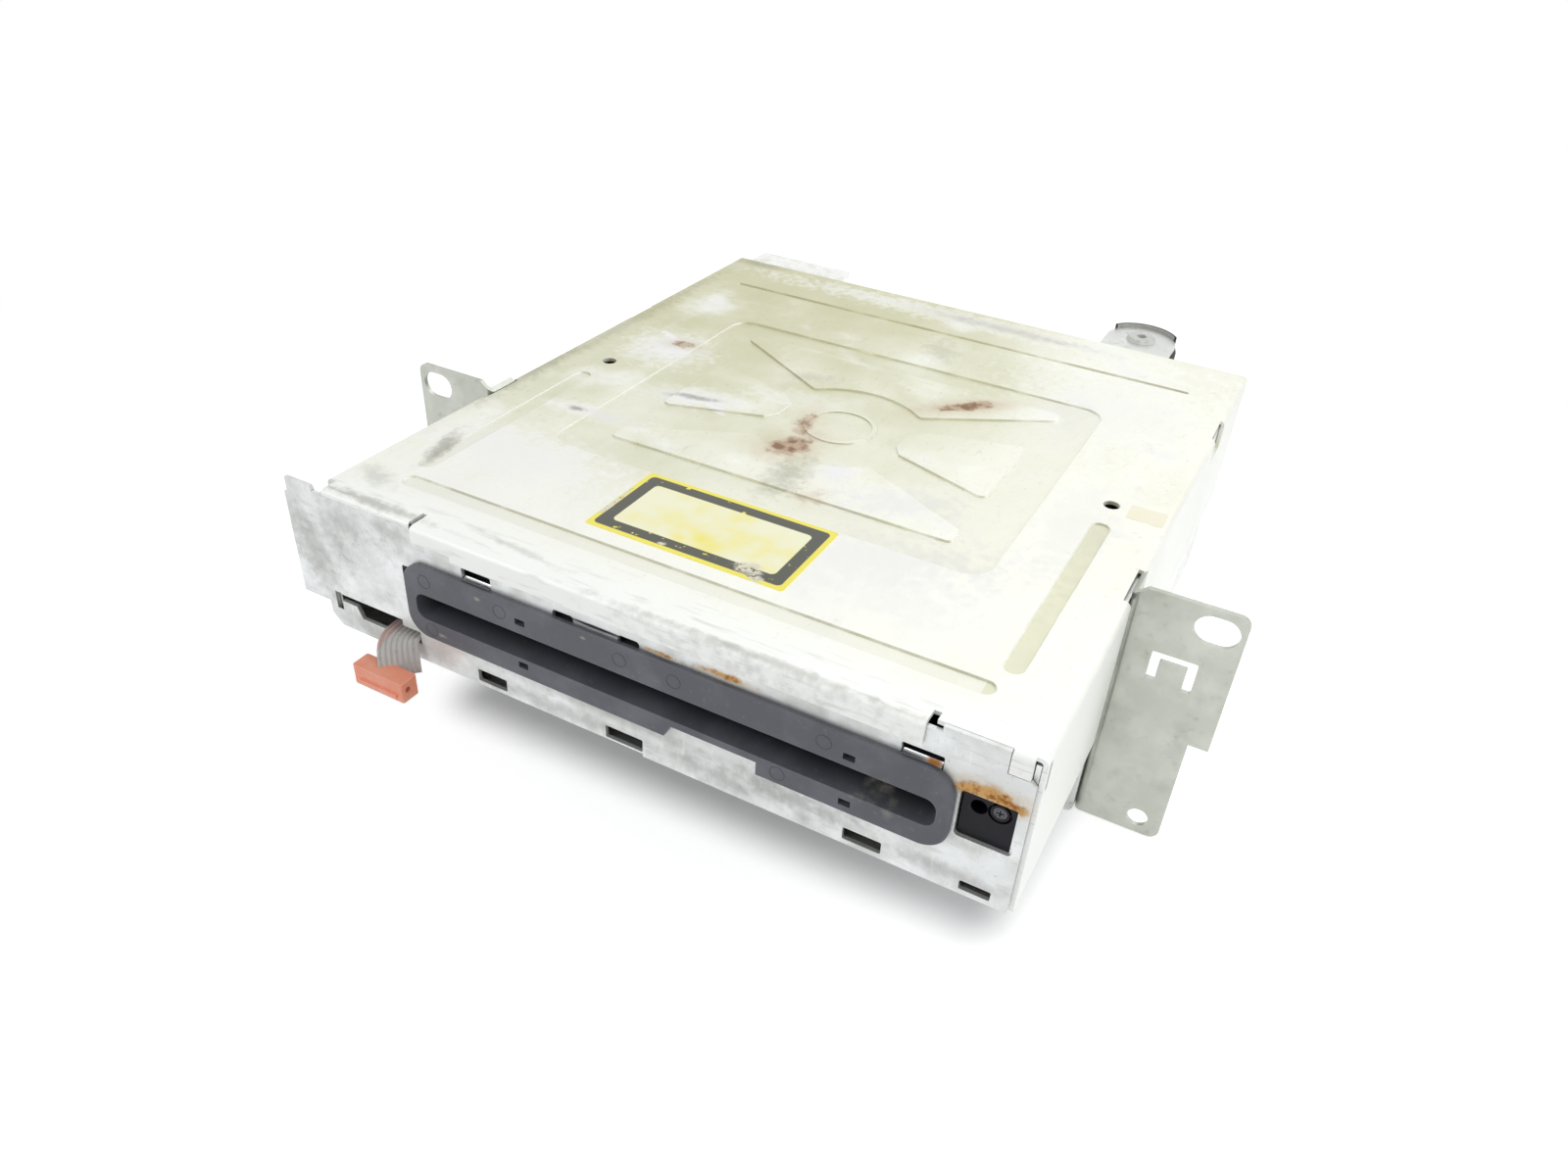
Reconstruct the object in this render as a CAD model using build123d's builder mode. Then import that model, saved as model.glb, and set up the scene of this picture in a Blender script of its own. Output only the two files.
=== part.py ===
"""Slot-loading car disc deck, without its trim plate, as separate pieces at their real size.

Millimetres, +Z up, +Y to the rear. The origin lies at mid-width on the base plane, in the
front face of the mounting ears. The nose with the disc slot stands ahead of the ears.
"""

import os
from math import atan2, cos, degrees, pi, radians, sin, sqrt

from build123d import *

os.makedirs("parts", exist_ok=True)

# Case
WIDTH = 178.0
LENGTH = 198.0
DECK = 40.0
LOWER = 25.0
NOSE = 62.0
SHEET = 1.0
BEND = 1.6
FIT = 0.15
RUN = 0.3
HALF = WIDTH / 2
FRONT = -NOSE
REAR = LENGTH - NOSE
TOP = LOWER + DECK
WALL_X = HALF - SHEET - FIT
WALL_IN = WALL_X - SHEET
PLATE_BACK = FRONT + SHEET
STEP_Y = -1.5
PANEL_T = 1.2
PANEL_OUT = REAR - SHEET - FIT
PANEL_IN = PANEL_OUT - PANEL_T
WALL_TOP = TOP - BEND - FIT

# Disc's centre and the height at which it plays
DISC_X = 6.0
DISC_Y = 36.5
DISC_Z = 41.0

# Slot and bezel
SLOT_X0 = -58.8
SLOT_X1 = 71.0
SLOT_LOW = 40.5
SLOT_HIGH = 47.5
BEZEL_X0 = -62.0
BEZEL_X1 = 74.0
BEZEL_LOW = 35.0
BEZEL_HIGH = 55.3
BEZEL_R = 6.0
LIP_T = 1.3
BEZEL_DEPTH = 7.5

# Mounting ears
EAR_T = 1.2
EAR_X0 = 89.7
EAR_X1 = 113.0
EAR_TOP = 67.5
EAR_LOW = 0.3
EAR_SLOT_X = 106.9
EAR_SLOT_Z = EAR_TOP - 5.5
EAR_SLOT_W = 9.7
EAR_SLOT_H = 7.2
EAR_HOLE_X = 102.8
EAR_HOLE_Z = 4.9
EAR_HOLE_D = 5.0
EAR_LEG = 20.0
EAR_GAP_Y0 = -3.5
EAR_GAP_Y1 = 10.5

# Embossing on the cover, centred over the disc's middle line
EMBOSS = 0.5
EMBOSS_X = 118.0
EMBOSS_Y = 98.0
HUB_Y = DISC_Y
HUB_R = 10.0
HUB_CLEAR = 23.0

# Loader: deck plate, walls and axles
PLATE_Z = 33.0
LOAD_X0 = -64.0
LOAD_X1 = 72.0
LOAD_Y0 = -50.0
LOAD_Y1 = 108.0
LOAD_WALL = 56.0
MODULE = 0.5
TOOTH_SLACK = 0.06
PIVOT_Y = -24.0
PIVOT_Z = 36.0
PIN_R = 1.5
PIN_RUN = 0.05
ROLLER_TEETH = 30
IDLER_TEETH = 20
PINION_TEETH = 14
WHEEL_TEETH = 24
ROLLER_DROP = 8.0
ROLLER_Z = 39.8
SLEEVE_R = 3.6
GEAR_X = 72.7
GEAR_T = 2.6

# Clamp arm
CLAMP_Y = 103.0
CLAMP_Z = 52.0
CLAMP_OPEN = 4.2
CLAMPER_R = 15.0
CLAMPER_DROP = 9.7

# Turntable and pickup
TABLE_R = 15.0
TRACK_IN = 25.0
TRACK_OUT = 58.0
ROD_Z = 29.0
ROD_GAP = 22.0
SCREW_GAP = 27.5

# Mode slider
SLIDER_TRAVEL = 10.0
SLIDER_T = 1.2
SLIDER_GAP = 0.6
TAIL = 12.0
CLAMP_TAIL_Y = 22.0
CLAMP_TAIL_Z = 5.0
CAM_PIN_R = 1.4

# Lower chassis
BOARD_Z = 6.0
BOARD_T = 1.6
SHELF_Z = 27.0
RIBBON_X = -66.5
WAYS = 8
WAY_PITCH = 1.27
WAY_T = 0.9


def level(z):
    """Return a horizontal plane at height z."""
    return Plane.XY.offset(z)


def facing(y):
    """Return an upright plane at depth y, with x to the right and z up."""
    return Plane.XZ.offset(-y)


def side(x):
    """Return an upright plane at x, with y to the right and z up."""
    return Plane.YZ.offset(x)


def bar(x, y, z, mode=Mode.ADD):
    """Add a square-edged bar between pairs of limits."""
    with BuildSketch(level(z[0])) as outline:
        with Locations(((x[0] + x[1]) / 2, (y[0] + y[1]) / 2)):
            Rectangle(x[1] - x[0], y[1] - y[0])
    extrude(outline.sketch, amount=z[1] - z[0], mode=mode)


def window(x, z, radius=0.4, mode=Mode.ADD):
    """Sketch a round-cornered window between limits in the sketch's own axes."""
    with Locations(((x[0] + x[1]) / 2, (z[0] + z[1]) / 2)):
        RectangleRounded(x[1] - x[0], z[1] - z[0], radius, mode=mode)


def pierce(plane, x, z, depth, radius=0.4):
    """Cut a round-cornered window through the part, depth each way from a plane."""
    with BuildSketch(plane) as opening:
        window(x, z, radius)
    extrude(opening.sketch, amount=depth, both=True, mode=Mode.SUBTRACT)


def rod(plane, centre, radius, amount, mode=Mode.ADD):
    """Add or cut a round bar that starts on a plane."""
    with BuildSketch(plane) as circle:
        with Locations(centre):
            Circle(radius)
    extrude(circle.sketch, amount=amount, mode=mode)


def tooth(teeth, lean=0.0):
    """Sketch a spur gear's outline, with straight-flanked teeth on its root circle."""
    pitch_r = MODULE * teeth / 2
    root_r = pitch_r - 1.25 * MODULE
    tip_r = pitch_r + MODULE
    half = pi * MODULE / 4 - TOOTH_SLACK
    flank = sin(radians(20))
    root_half = half + 1.25 * MODULE * flank
    tip_half = half - MODULE * flank
    Circle(root_r)
    with PolarLocations(0, teeth, start_angle=lean):
        Polygon(
            (root_r - 0.3, -root_half),
            (tip_r, -tip_half),
            (tip_r, tip_half),
            (root_r - 0.3, root_half),
            align=None,
        )


def turned(y, z, angle):
    """Turn a point about the x axis and return its new y and z."""
    return (
        y * cos(radians(angle)) - z * sin(radians(angle)),
        y * sin(radians(angle)) + z * cos(radians(angle)),
    )


def finish(builder, name, tint):
    """Label a finished piece, colour it and write its file."""
    builder.part.label = name
    builder.part.color = Color(*tint)
    export_step(builder.part, f"parts/{name}.step")


STEEL = (0.78, 0.79, 0.74)
ZINC = (0.72, 0.74, 0.76)
BLACK = (0.08, 0.08, 0.09)
GREY = (0.35, 0.36, 0.38)
WHITE = (0.9, 0.9, 0.86)
GREEN = (0.1, 0.35, 0.2)
BRASS = (0.75, 0.6, 0.3)
RED = (0.95, 0.35, 0.2)
YELLOW = (0.95, 0.9, 0.3)
RUBBER = (0.15, 0.15, 0.15)

# Cover: folded sheet with a pressed pattern, ribs and notches
RIB_FRONT_Y = FRONT + 14.8
RIB_FRONT_X = 148.0
RIB_SIDE_X = 74.6
RIB_SIDE_Y = (FRONT + 21.4, FRONT + 87.6)
RIB_W = 4.6
BEAD_Y = FRONT + 175.0
PEEP_X = 74.0
PEEP_D = 4.0
LIP_X = (-47.0, 66.0)
LIP_LOW = 59.5
HOOK_X = (-58.0, -45.5)
STEP_X = (82.3, 86.8)
STEP_DROP = 5.3
FOLDS = (
    (LIP_X, LIP_LOW, FRONT - FIT - SHEET),
    (HOOK_X, LIP_LOW + 1.5, FRONT - FIT - SHEET),
    ((STEP_X[0] + FIT, STEP_X[1] - FIT), TOP - STEP_DROP + FIT, FRONT),
)
NOTCHES = (((-89.5, -86.0), 5.0), ((-59.4, -58.0), 5.0), ((66.0, 67.6), 3.4))
SLIT_Y = (FRONT + 2.6, FRONT + 4.2)
SLIT_Z = (TOP - 9.0, TOP - 1.8)
COVER_SCREW_X = 34.0
COVER_SCREW_Z = TOP - 6.0
TAB_W = 14.0
TAB_H = 10.0
SCREW_R = 1.5
HEAD_R = 3.0
HEAD_T = 1.6


def arch(half, top, bend, mode=Mode.ADD):
    """Sketch an arch with rounded shoulders, down to the cover's lower edge."""
    with BuildLine() as outline:
        FilletPolyline((-half, LOWER), (-half, top), (half, top), (half, LOWER), radius=bend)
        Line((half, LOWER), (-half, LOWER))
    make_face(outline.edges(), mode=mode)


def long_pad(points, radius):
    """Sketch one of the pads that the pressed cross leaves, cut round by the hub."""
    with BuildSketch() as pad:
        Polygon(*points, align=None)
        with Locations((0, HUB_Y)):
            Circle(HUB_CLEAR, mode=Mode.SUBTRACT)
        fillet(pad.vertices(), radius)
    return pad.sketch


def side_pad(sign):
    """Sketch the pad to one side of the hub."""
    points = ((46.6, 53.0), (46.6, 21.0), (20.0, 30.0), (17.4, 34.0), (17.4, 42.0), (22.0, 46.0))
    with BuildSketch() as pad:
        Polygon(*[(sign * x, y) for x, y in points], align=None)
        fillet(pad.vertices(), 1.8)
    return pad.sketch


back_pad = long_pad(
    ((-48.5, 77.5), (48.5, 77.5), (48.5, 73.0), (10.0, 49.2), (-10.0, 49.2), (-48.5, 73.0)), 1.6
)
front_pad = long_pad(
    ((-47.0, -2.0), (47.0, -2.0), (47.0, 4.0), (10.0, 23.0), (-10.0, 23.0), (-47.0, 4.0)), 1.6
)
pads = [back_pad, front_pad, side_pad(1), side_pad(-1)]

with BuildSketch() as cross:
    with Locations((0, HUB_Y)):
        RectangleRounded(EMBOSS_X, EMBOSS_Y, 6.0)
    for pad in pads:
        add(pad, mode=Mode.SUBTRACT)

with BuildSketch() as grooves:
    with Locations((0, RIB_FRONT_Y)):
        SlotOverall(RIB_FRONT_X, RIB_W)
    for x in (-RIB_SIDE_X, RIB_SIDE_X):
        with Locations((x, sum(RIB_SIDE_Y) / 2)):
            SlotOverall(RIB_SIDE_Y[1] - RIB_SIDE_Y[0], RIB_W, rotation=90)
    with Locations((0, BEAD_Y)):
        SlotOverall(152.0, 1.6)

with BuildPart() as top_cover:
    with BuildSketch(facing(PLATE_BACK + FIT)):
        arch(HALF, TOP, BEND)
        arch(HALF - SHEET, TOP - SHEET, BEND - SHEET, Mode.SUBTRACT)
    extrude(amount=PLATE_BACK + FIT - REAR)
    # Pressed pattern: the cross and ribs stand down, above and below the sheet alike
    for pattern in (cross.sketch, grooves.sketch):
        extrude(level(TOP - SHEET).from_local_coords(pattern), amount=-EMBOSS, taper=20)
        extrude(level(TOP).from_local_coords(pattern), amount=-EMBOSS, taper=20, mode=Mode.SUBTRACT)
    with BuildSketch(level(TOP - EMBOSS)) as hub:
        with Locations((0, HUB_Y)):
            Circle(HUB_R)
            Circle(HUB_R - 1.4, mode=Mode.SUBTRACT)
    extrude(hub.sketch, amount=EMBOSS * 0.6)
    # Front lip and hook, folded down over the front plate, and a tab beside its stepped corner
    for span, low, face in FOLDS:
        with BuildSketch(side(span[0])) as fold:
            with BuildLine() as section:
                FilletPolyline(
                    (PLATE_BACK + 2.0, TOP),
                    (face, TOP),
                    (face, low),
                    radius=BEND - 0.2,
                )
                Line((face, low), (face + SHEET, low))
                FilletPolyline(
                    (face + SHEET, low),
                    (face + SHEET, TOP - SHEET),
                    (PLATE_BACK + 2.0, TOP - SHEET),
                    radius=0.4,
                )
                Line((PLATE_BACK + 2.0, TOP - SHEET), (PLATE_BACK + 2.0, TOP))
            make_face(section.edges())
        extrude(fold.sketch, amount=span[1] - span[0])
    # Relief notches beside the lip and hook, and the left front corner
    for span, reach in NOTCHES:
        bar(span, (FRONT, FRONT + reach), (TOP - 3 * SHEET, TOP + 1), Mode.SUBTRACT)
    # Peep holes over the loader
    with Locations(level(TOP)):
        with Locations((-PEEP_X, HUB_Y - 1.0), (PEEP_X, HUB_Y - 1.0)):
            Hole(PEEP_D / 2, depth=2 * SHEET)
    # Gaps where the ears come out, then the edge notches
    for sign in (-1, 1):
        edge = sorted((sign * (HALF - 2.0), sign * (HALF + 1)))
        bar(edge, (EAR_GAP_Y0, EAR_GAP_Y1), (LOWER - 1, TOP + 1), Mode.SUBTRACT)
    bar((HALF - 1.3, HALF + 1), (87.0, 100.0), (TOP - 8.0, TOP + 1), Mode.SUBTRACT)
    bar((-HALF - 1, -HALF + 1.3), (67.0, 79.0), (TOP - 8.0, TOP + 1), Mode.SUBTRACT)
    pierce(side(HALF), SLIT_Y, SLIT_Z, 2 * SHEET, 0.3)
    # Rear tabs that take the cover's screws
    for x in (-COVER_SCREW_X, COVER_SCREW_X):
        bar((x - TAB_W / 2, x + TAB_W / 2), (REAR - SHEET, REAR), (TOP - TAB_H, TOP - SHEET))
        rod(facing(REAR), (x, COVER_SCREW_Z), SCREW_R + FIT, 2 * SHEET, Mode.SUBTRACT)
finish(top_cover, "top_cover", STEEL)

# Chassis: a folded tub, stepped up under the nose
STUD_R = 3.0
STUDS = [(-76.0, 12.0), (76.0, 12.0), (0.0, 16.0), (-76.0, 112.0), (76.0, 112.0), (24.0, 112.0)]

def tub(inset, over):
    """Build the stepped tub's block, set in on every wall and run over the open sides."""
    with BuildPart() as block:
        with BuildSketch(side(0)):
            Polygon(
                (PLATE_BACK + FIT - over, LOWER + inset),
                (STEP_Y + inset, LOWER + inset),
                (STEP_Y + inset, inset),
                (PANEL_IN - FIT + over, inset),
                (PANEL_IN - FIT + over, WALL_TOP + over),
                (PLATE_BACK + FIT - over, WALL_TOP + over),
                align=None,
            )
        extrude(amount=WALL_X - inset, both=True)
        floors = block.edges().filter_by(Axis.Y).group_by(Axis.Z)
        fillet(floors[0] + floors[1], BEND - inset)
    return block.part


with BuildPart() as chassis_frame:
    add(tub(0, 0))
    add(tub(SHEET, 5.0), mode=Mode.SUBTRACT)
    # Cooling slots in the floor
    with BuildSketch(level(0)) as vents:
        for x in (-44.0, 44.0):
            with Locations((x, 66.0)):
                with GridLocations(0, 8.0, 1, 9):
                    SlotOverall(36.0, 3.0)
    extrude(vents.sketch, amount=2 * SHEET, mode=Mode.SUBTRACT)
    # Raised studs that carry the main board
    for stud in STUDS:
        rod(level(SHEET), stud, STUD_R, BOARD_Z - SHEET)
        rod(level(0), stud, 1.0, BOARD_Z + 1, Mode.SUBTRACT)
    # Slit in line with the cover's
    pierce(side(WALL_X), SLIT_Y, SLIT_Z, 2 * SHEET, 0.3)
    for sign in (-1, 1):
        for z in (6.0, 19.0):
            rod(side(sign * WALL_X), (13.0, z), SCREW_R - 0.2, -sign * 2 * SHEET, Mode.SUBTRACT)
finish(chassis_frame, "chassis_frame", ZINC)

# Front plate: pressed sheet with windows, a side flap and hooks
APER_X0 = BEZEL_X0 + 1.0
APER_X1 = BEZEL_X1 - 1.0
APER_LOW = BEZEL_LOW + 1.0
APER_HIGH = BEZEL_HIGH - 1.0
FLANGE_Y = PLATE_BACK + 12.0
TONGUE_X = (8.5, 31.8)
TONGUE_Z = 38.7
SIDE_WINDOW_X = (74.6, 86.3)
SIDE_WINDOW_Z = (40.0, 51.8)

with BuildPart() as front_plate:
    with BuildSketch(facing(FRONT)) as outline:
        Polygon(
            (-87.0, LOWER + 0.8),
            (2.7, LOWER + 0.8),
            (2.7, LOWER),
            (HALF - 1.0, LOWER),
            (HALF - 1.0, TOP - STEP_DROP - 1.2),
            (STEP_X[1], TOP - STEP_DROP),
            (STEP_X[0], TOP - STEP_DROP),
            (STEP_X[0], TOP),
            (LIP_X[1] + 3.2, TOP),
            (LIP_X[1] + 3.2, TOP - 1.5),
            (-HALF, TOP - 1.5),
            (-HALF - 0.5, TOP),
            (-HALF - 8.5, TOP),
            (-HALF - 8.5, TOP - 4.2),
            (-HALF - 9.5, TOP - 4.2),
            (-HALF - 9.5, LOWER + 7.3),
            (-HALF - 1.0, LOWER + 7.3),
            (-HALF - 1.0, LOWER + 3.8),
            align=None,
        )
        fillet(outline.vertices().group_by(Axis.X)[-1], 0.5)
    extrude(amount=-SHEET)
    with BuildSketch(facing(FRONT)) as openings:
        window((APER_X0, APER_X1), (APER_LOW, APER_HIGH), BEZEL_R - 1.0)
        window((TONGUE_X[0] + 0.5, TONGUE_X[1]), (APER_LOW - 1, TONGUE_Z), 0.3, Mode.SUBTRACT)
        window((-63.2, -60.0), (41.3, 52.5), 0.5)
        window((-45.0, -36.8), (53.0, 58.2))
        window((61.8, 70.5), (53.0, 57.8))
        window((-20.0, -14.5), (53.0, 56.7), 0.8)
        window((-3.0, 2.4), (53.0, 56.7), 0.8)
        window((-43.5, -35.1), (LOWER + 1.9, LOWER + 5.3))
        window((-7.2, 2.7), (LOWER + 1.3, LOWER + 4.7))
        window((51.9, 60.6), (LOWER + 1.3, LOWER + 4.5))
        window((77.6, 84.2), (LOWER + 1.3, LOWER + 3.7))
        window(SIDE_WINDOW_X, SIDE_WINDOW_Z, 1.0)
        Polygon(
            (-86.0, 35.7),
            (-66.0, 35.7),
            (-66.0, 34.0),
            (-60.6, 34.0),
            (-60.6, 30.5),
            (-79.5, 30.5),
            (-81.0, 33.7),
            (-86.0, 33.7),
            align=None,
        )
    extrude(openings.sketch, amount=-2 * SHEET, both=True, mode=Mode.SUBTRACT)
    # Side flanges inside the chassis walls
    for sign in (-1, 1):
        flange = sorted((sign * (WALL_IN - FIT), sign * (WALL_IN - FIT - SHEET)))
        bar(flange, (PLATE_BACK - 0.2, FLANGE_Y), (LOWER + 8.0, TOP - 6.0))
    with BuildSketch(side(-WALL_IN + FIT + SHEET)) as ribbon_way:
        window((FRONT, PLATE_BACK + 6.0), (30.0, 37.0), 1.0)
    extrude(ribbon_way.sketch, amount=-2 * SHEET, mode=Mode.SUBTRACT)
    pierce(side(WALL_IN - FIT - SHEET / 2), SLIT_Y, SLIT_Z, SHEET, 0.3)
finish(front_plate, "front_plate", ZINC)

# Slot bezel: moulded frame, a ramped slot, clips and square eyes
with BuildPart() as slot_bezel:
    with BuildSketch(facing(FRONT - FIT)):
        window((BEZEL_X0, BEZEL_X1), (BEZEL_LOW, BEZEL_HIGH), BEZEL_R)
    extrude(amount=LIP_T)
    chamfer(slot_bezel.faces().sort_by(Axis.Y)[0].edges(), 0.35)
    with BuildSketch(facing(FRONT - FIT)):
        window(
            (APER_X0 + RUN, APER_X1 - RUN),
            (APER_LOW + RUN, APER_HIGH - RUN),
            BEZEL_R - 1.0 - RUN,
        )
        window(
            (TONGUE_X[0] - RUN, TONGUE_X[1] + RUN),
            (APER_LOW - 1, TONGUE_Z + RUN),
            0.3,
            Mode.SUBTRACT,
        )
    extrude(amount=-BEZEL_DEPTH)
    # The lower lip is notched over the plate's tongue
    with BuildSketch(facing(FRONT - FIT - LIP_T)) as notch:
        Polygon(
            (TONGUE_X[0], BEZEL_LOW - 1),
            (TONGUE_X[1], BEZEL_LOW - 1),
            (TONGUE_X[1], TONGUE_Z),
            (TONGUE_X[0] + 2.4, TONGUE_Z),
            align=None,
        )
    extrude(notch.sketch, amount=-LIP_T, mode=Mode.SUBTRACT)
    # The slot narrows inwards over a lower ramp
    with BuildSketch(facing(FRONT - FIT - LIP_T - 0.01)) as mouth:
        window((SLOT_X0, SLOT_X1), (SLOT_LOW, SLOT_HIGH), 2.6)
    with BuildSketch(facing(FRONT - FIT + BEZEL_DEPTH + 0.01)) as throat:
        window((SLOT_X0 + 0.6, SLOT_X1 - 0.6), (SLOT_LOW + 1.6, SLOT_HIGH - 0.6), 2.0)
    loft([mouth.sketch.face(), throat.sketch.face()], ruled=True, mode=Mode.SUBTRACT)
    # Square eyes for the disc sensors, in both lips
    with BuildSketch(facing(FRONT - FIT - LIP_T)) as eyes:
        for x, z in ((-28.2, 50.6), (52.1, 49.9), (-28.2, 38.6), (52.1, 37.7)):
            window((x - 1.35, x + 1.35), (z - 0.85, z + 0.85), 0.2)
    extrude(eyes.sketch, amount=-BEZEL_DEPTH - LIP_T, mode=Mode.SUBTRACT)
    # Clips that hook into the plate's two upper windows
    for span in ((-44.6, -37.2), (62.2, 70.1)):
        bar(span, (FRONT - FIT - LIP_T, FRONT + SHEET), (BEZEL_HIGH - 3.0, BEZEL_HIGH - 0.2))
finish(slot_bezel, "slot_bezel", GREY)


def ear(sign):
    """Build the mounting ear on one side: a leg on the chassis and a plate turned out."""
    with BuildPart() as bracket:
        # Plan section: leg along the wall, bend, plate across the front
        with BuildSketch(level(EAR_LOW)) as plan:
            with BuildLine() as section:
                FilletPolyline(
                    (sign * (WALL_X + EAR_T), EAR_LEG),
                    (sign * (WALL_X + EAR_T), EAR_T),
                    (sign * EAR_X1, EAR_T),
                    radius=0.8,
                )
                Line((sign * EAR_X1, EAR_T), (sign * EAR_X1, 0))
                FilletPolyline(
                    (sign * EAR_X1, 0),
                    (sign * WALL_X, 0),
                    (sign * WALL_X, EAR_LEG),
                    radius=1.9,
                )
                Line((sign * WALL_X, EAR_LEG), (sign * (WALL_X + EAR_T), EAR_LEG))
            make_face(section.edges())
        extrude(plan.sketch, amount=EAR_TOP - EAR_LOW)
        # Front outline of the plate
        with BuildSketch(facing(-1)) as outline:
            Polygon(
                (sign * (WALL_X - 1), EAR_LOW),
                (sign * (EAR_X1 - 4.5), EAR_LOW),
                (sign * (EAR_X1 - 4.5), EAR_LOW + 30.6),
                (sign * EAR_X1, EAR_LOW + 30.6),
                (sign * EAR_X1, EAR_TOP),
                (sign * (EAR_X0 + 1.5), EAR_TOP),
                (sign * (WALL_X - 1), TOP - 1.2),
                align=None,
            )
            corners = outline.vertices().sort_by(Axis.Y)
            outer = [v for v in corners if abs(v.X) > EAR_X1 - 5 and v.Y != EAR_LOW + 30.6]
            fillet(outer, 2.6)
        extrude(outline.sketch, amount=-EAR_LEG - 2, mode=Mode.INTERSECT)
        # The leg is low beside the cover's skirt and full height only in its gap
        leg = sorted((sign * (WALL_X - 1), sign * (WALL_X + EAR_T + 1)))
        bar(leg, (EAR_GAP_Y1 - 0.5, EAR_LEG + 1), (LOWER - 0.4, EAR_TOP + 1), Mode.SUBTRACT)
        # Holes, and the three-sided slot that frees a tongue
        with BuildSketch(facing(0)) as holes:
            with Locations((sign * EAR_SLOT_X, EAR_SLOT_Z)):
                SlotOverall(EAR_SLOT_W, EAR_SLOT_H)
            with Locations((sign * EAR_HOLE_X, EAR_HOLE_Z)):
                Circle(EAR_HOLE_D / 2)
            window(sorted((sign * 95.4, sign * 105.5)), (44.4, 52.5), 0.5)
            window(sorted((sign * 97.4, sign * 103.5)), (40.0, 50.5), 0.5, Mode.SUBTRACT)
            window(sorted((sign * 95.0, sign * 97.8)), (43.0, 45.2), 0.3, Mode.SUBTRACT)
        extrude(holes.sketch, amount=-2 * EAR_T, both=True, mode=Mode.SUBTRACT)
        for z in (6.0, 19.0):
            rod(side(sign * WALL_X), (13.0, z), SCREW_R + FIT, sign * 3 * EAR_T, Mode.SUBTRACT)
    return bracket


ear_right = ear(1)
finish(ear_right, "ear_right", STEEL)
ear_left = ear(-1)
finish(ear_left, "ear_left", STEEL)


def pan_screw(plane, centre, length, out=1):
    """Add a pan-head screw whose head stands on a plane and whose shank goes in."""
    rod(plane, centre, HEAD_R, out * HEAD_T)
    rod(plane, centre, SCREW_R - 0.25, -out * length)
    with BuildSketch(plane.offset(out * HEAD_T)) as cross_slot:
        with Locations(centre):
            Rectangle(3.0, 0.6)
            Rectangle(0.6, 3.0)
    extrude(cross_slot.sketch, amount=-out * 0.8, mode=Mode.SUBTRACT)


with BuildPart() as ear_screws:
    for sign in (-1, 1):
        for z in (6.0, 19.0):
            pan_screw(side(sign * (WALL_X + EAR_T)), (13.0, z), 3.5, sign)
finish(ear_screws, "ear_screws", ZINC)

with BuildPart() as cover_screws:
    for x in (-COVER_SCREW_X, COVER_SCREW_X):
        pan_screw(facing(REAR), (x, COVER_SCREW_Z), 4.0, -1)
finish(cover_screws, "cover_screws", ZINC)

# Stickers on the cover
LABEL_X = (-27.0, 24.0)
LABEL_Y = (FRONT + 21.6, FRONT + 49.0)
with BuildPart() as label_sticker:
    with BuildSketch(level(TOP)):
        window(LABEL_X, LABEL_Y, 0.8)
    extrude(amount=0.12)
finish(label_sticker, "label_sticker", YELLOW)

with BuildPart() as small_sticker:
    with BuildSketch(level(TOP)):
        window((78.4, HALF - BEND - 0.1), (FRONT + 93.4, FRONT + 100.4), 0.4)
    extrude(amount=0.1)
finish(small_sticker, "small_sticker", WHITE)

# Rear panel with openings for the sockets and a round lug at its top
CONNECT_X = (-38.0, 14.0)
CONNECT_Z = (9.0, 31.0)
AERIAL_X = 66.0
AERIAL_Z = 20.0
AERIAL_R = 6.5
LUG_X = 53.2
LUG_R = 10.8
LUG_Y = REAR + 13.0
LUG_TOP = TOP - SHEET - FIT
with BuildPart() as rear_panel:
    with BuildSketch(facing(PANEL_IN)) as outline:
        window((-WALL_IN + FIT, WALL_IN - FIT), (SHEET + FIT, LUG_TOP), 1.0)
        for z in range(36, 58, 6):
            window((-24.0, 24.0), (z, z + 2.4), 1.1, Mode.SUBTRACT)
        window(CONNECT_X, CONNECT_Z, 0.5, Mode.SUBTRACT)
        with Locations((AERIAL_X, AERIAL_Z)):
            Circle(AERIAL_R + FIT, mode=Mode.SUBTRACT)
        for x in (-COVER_SCREW_X, COVER_SCREW_X):
            with Locations((x, COVER_SCREW_Z)):
                Circle(SCREW_R - 0.2, mode=Mode.SUBTRACT)
    extrude(amount=-PANEL_T)
    with BuildSketch(level(LUG_TOP)) as lug:
        window((LUG_X - LUG_R, LUG_X + LUG_R), (PANEL_IN - 6.0, LUG_Y), 0.3)
        with Locations((LUG_X, LUG_Y)):
            Circle(LUG_R)
            Circle(3.2, mode=Mode.SUBTRACT)
    extrude(lug.sketch, amount=-PANEL_T)
finish(rear_panel, "rear_panel", ZINC)

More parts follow.
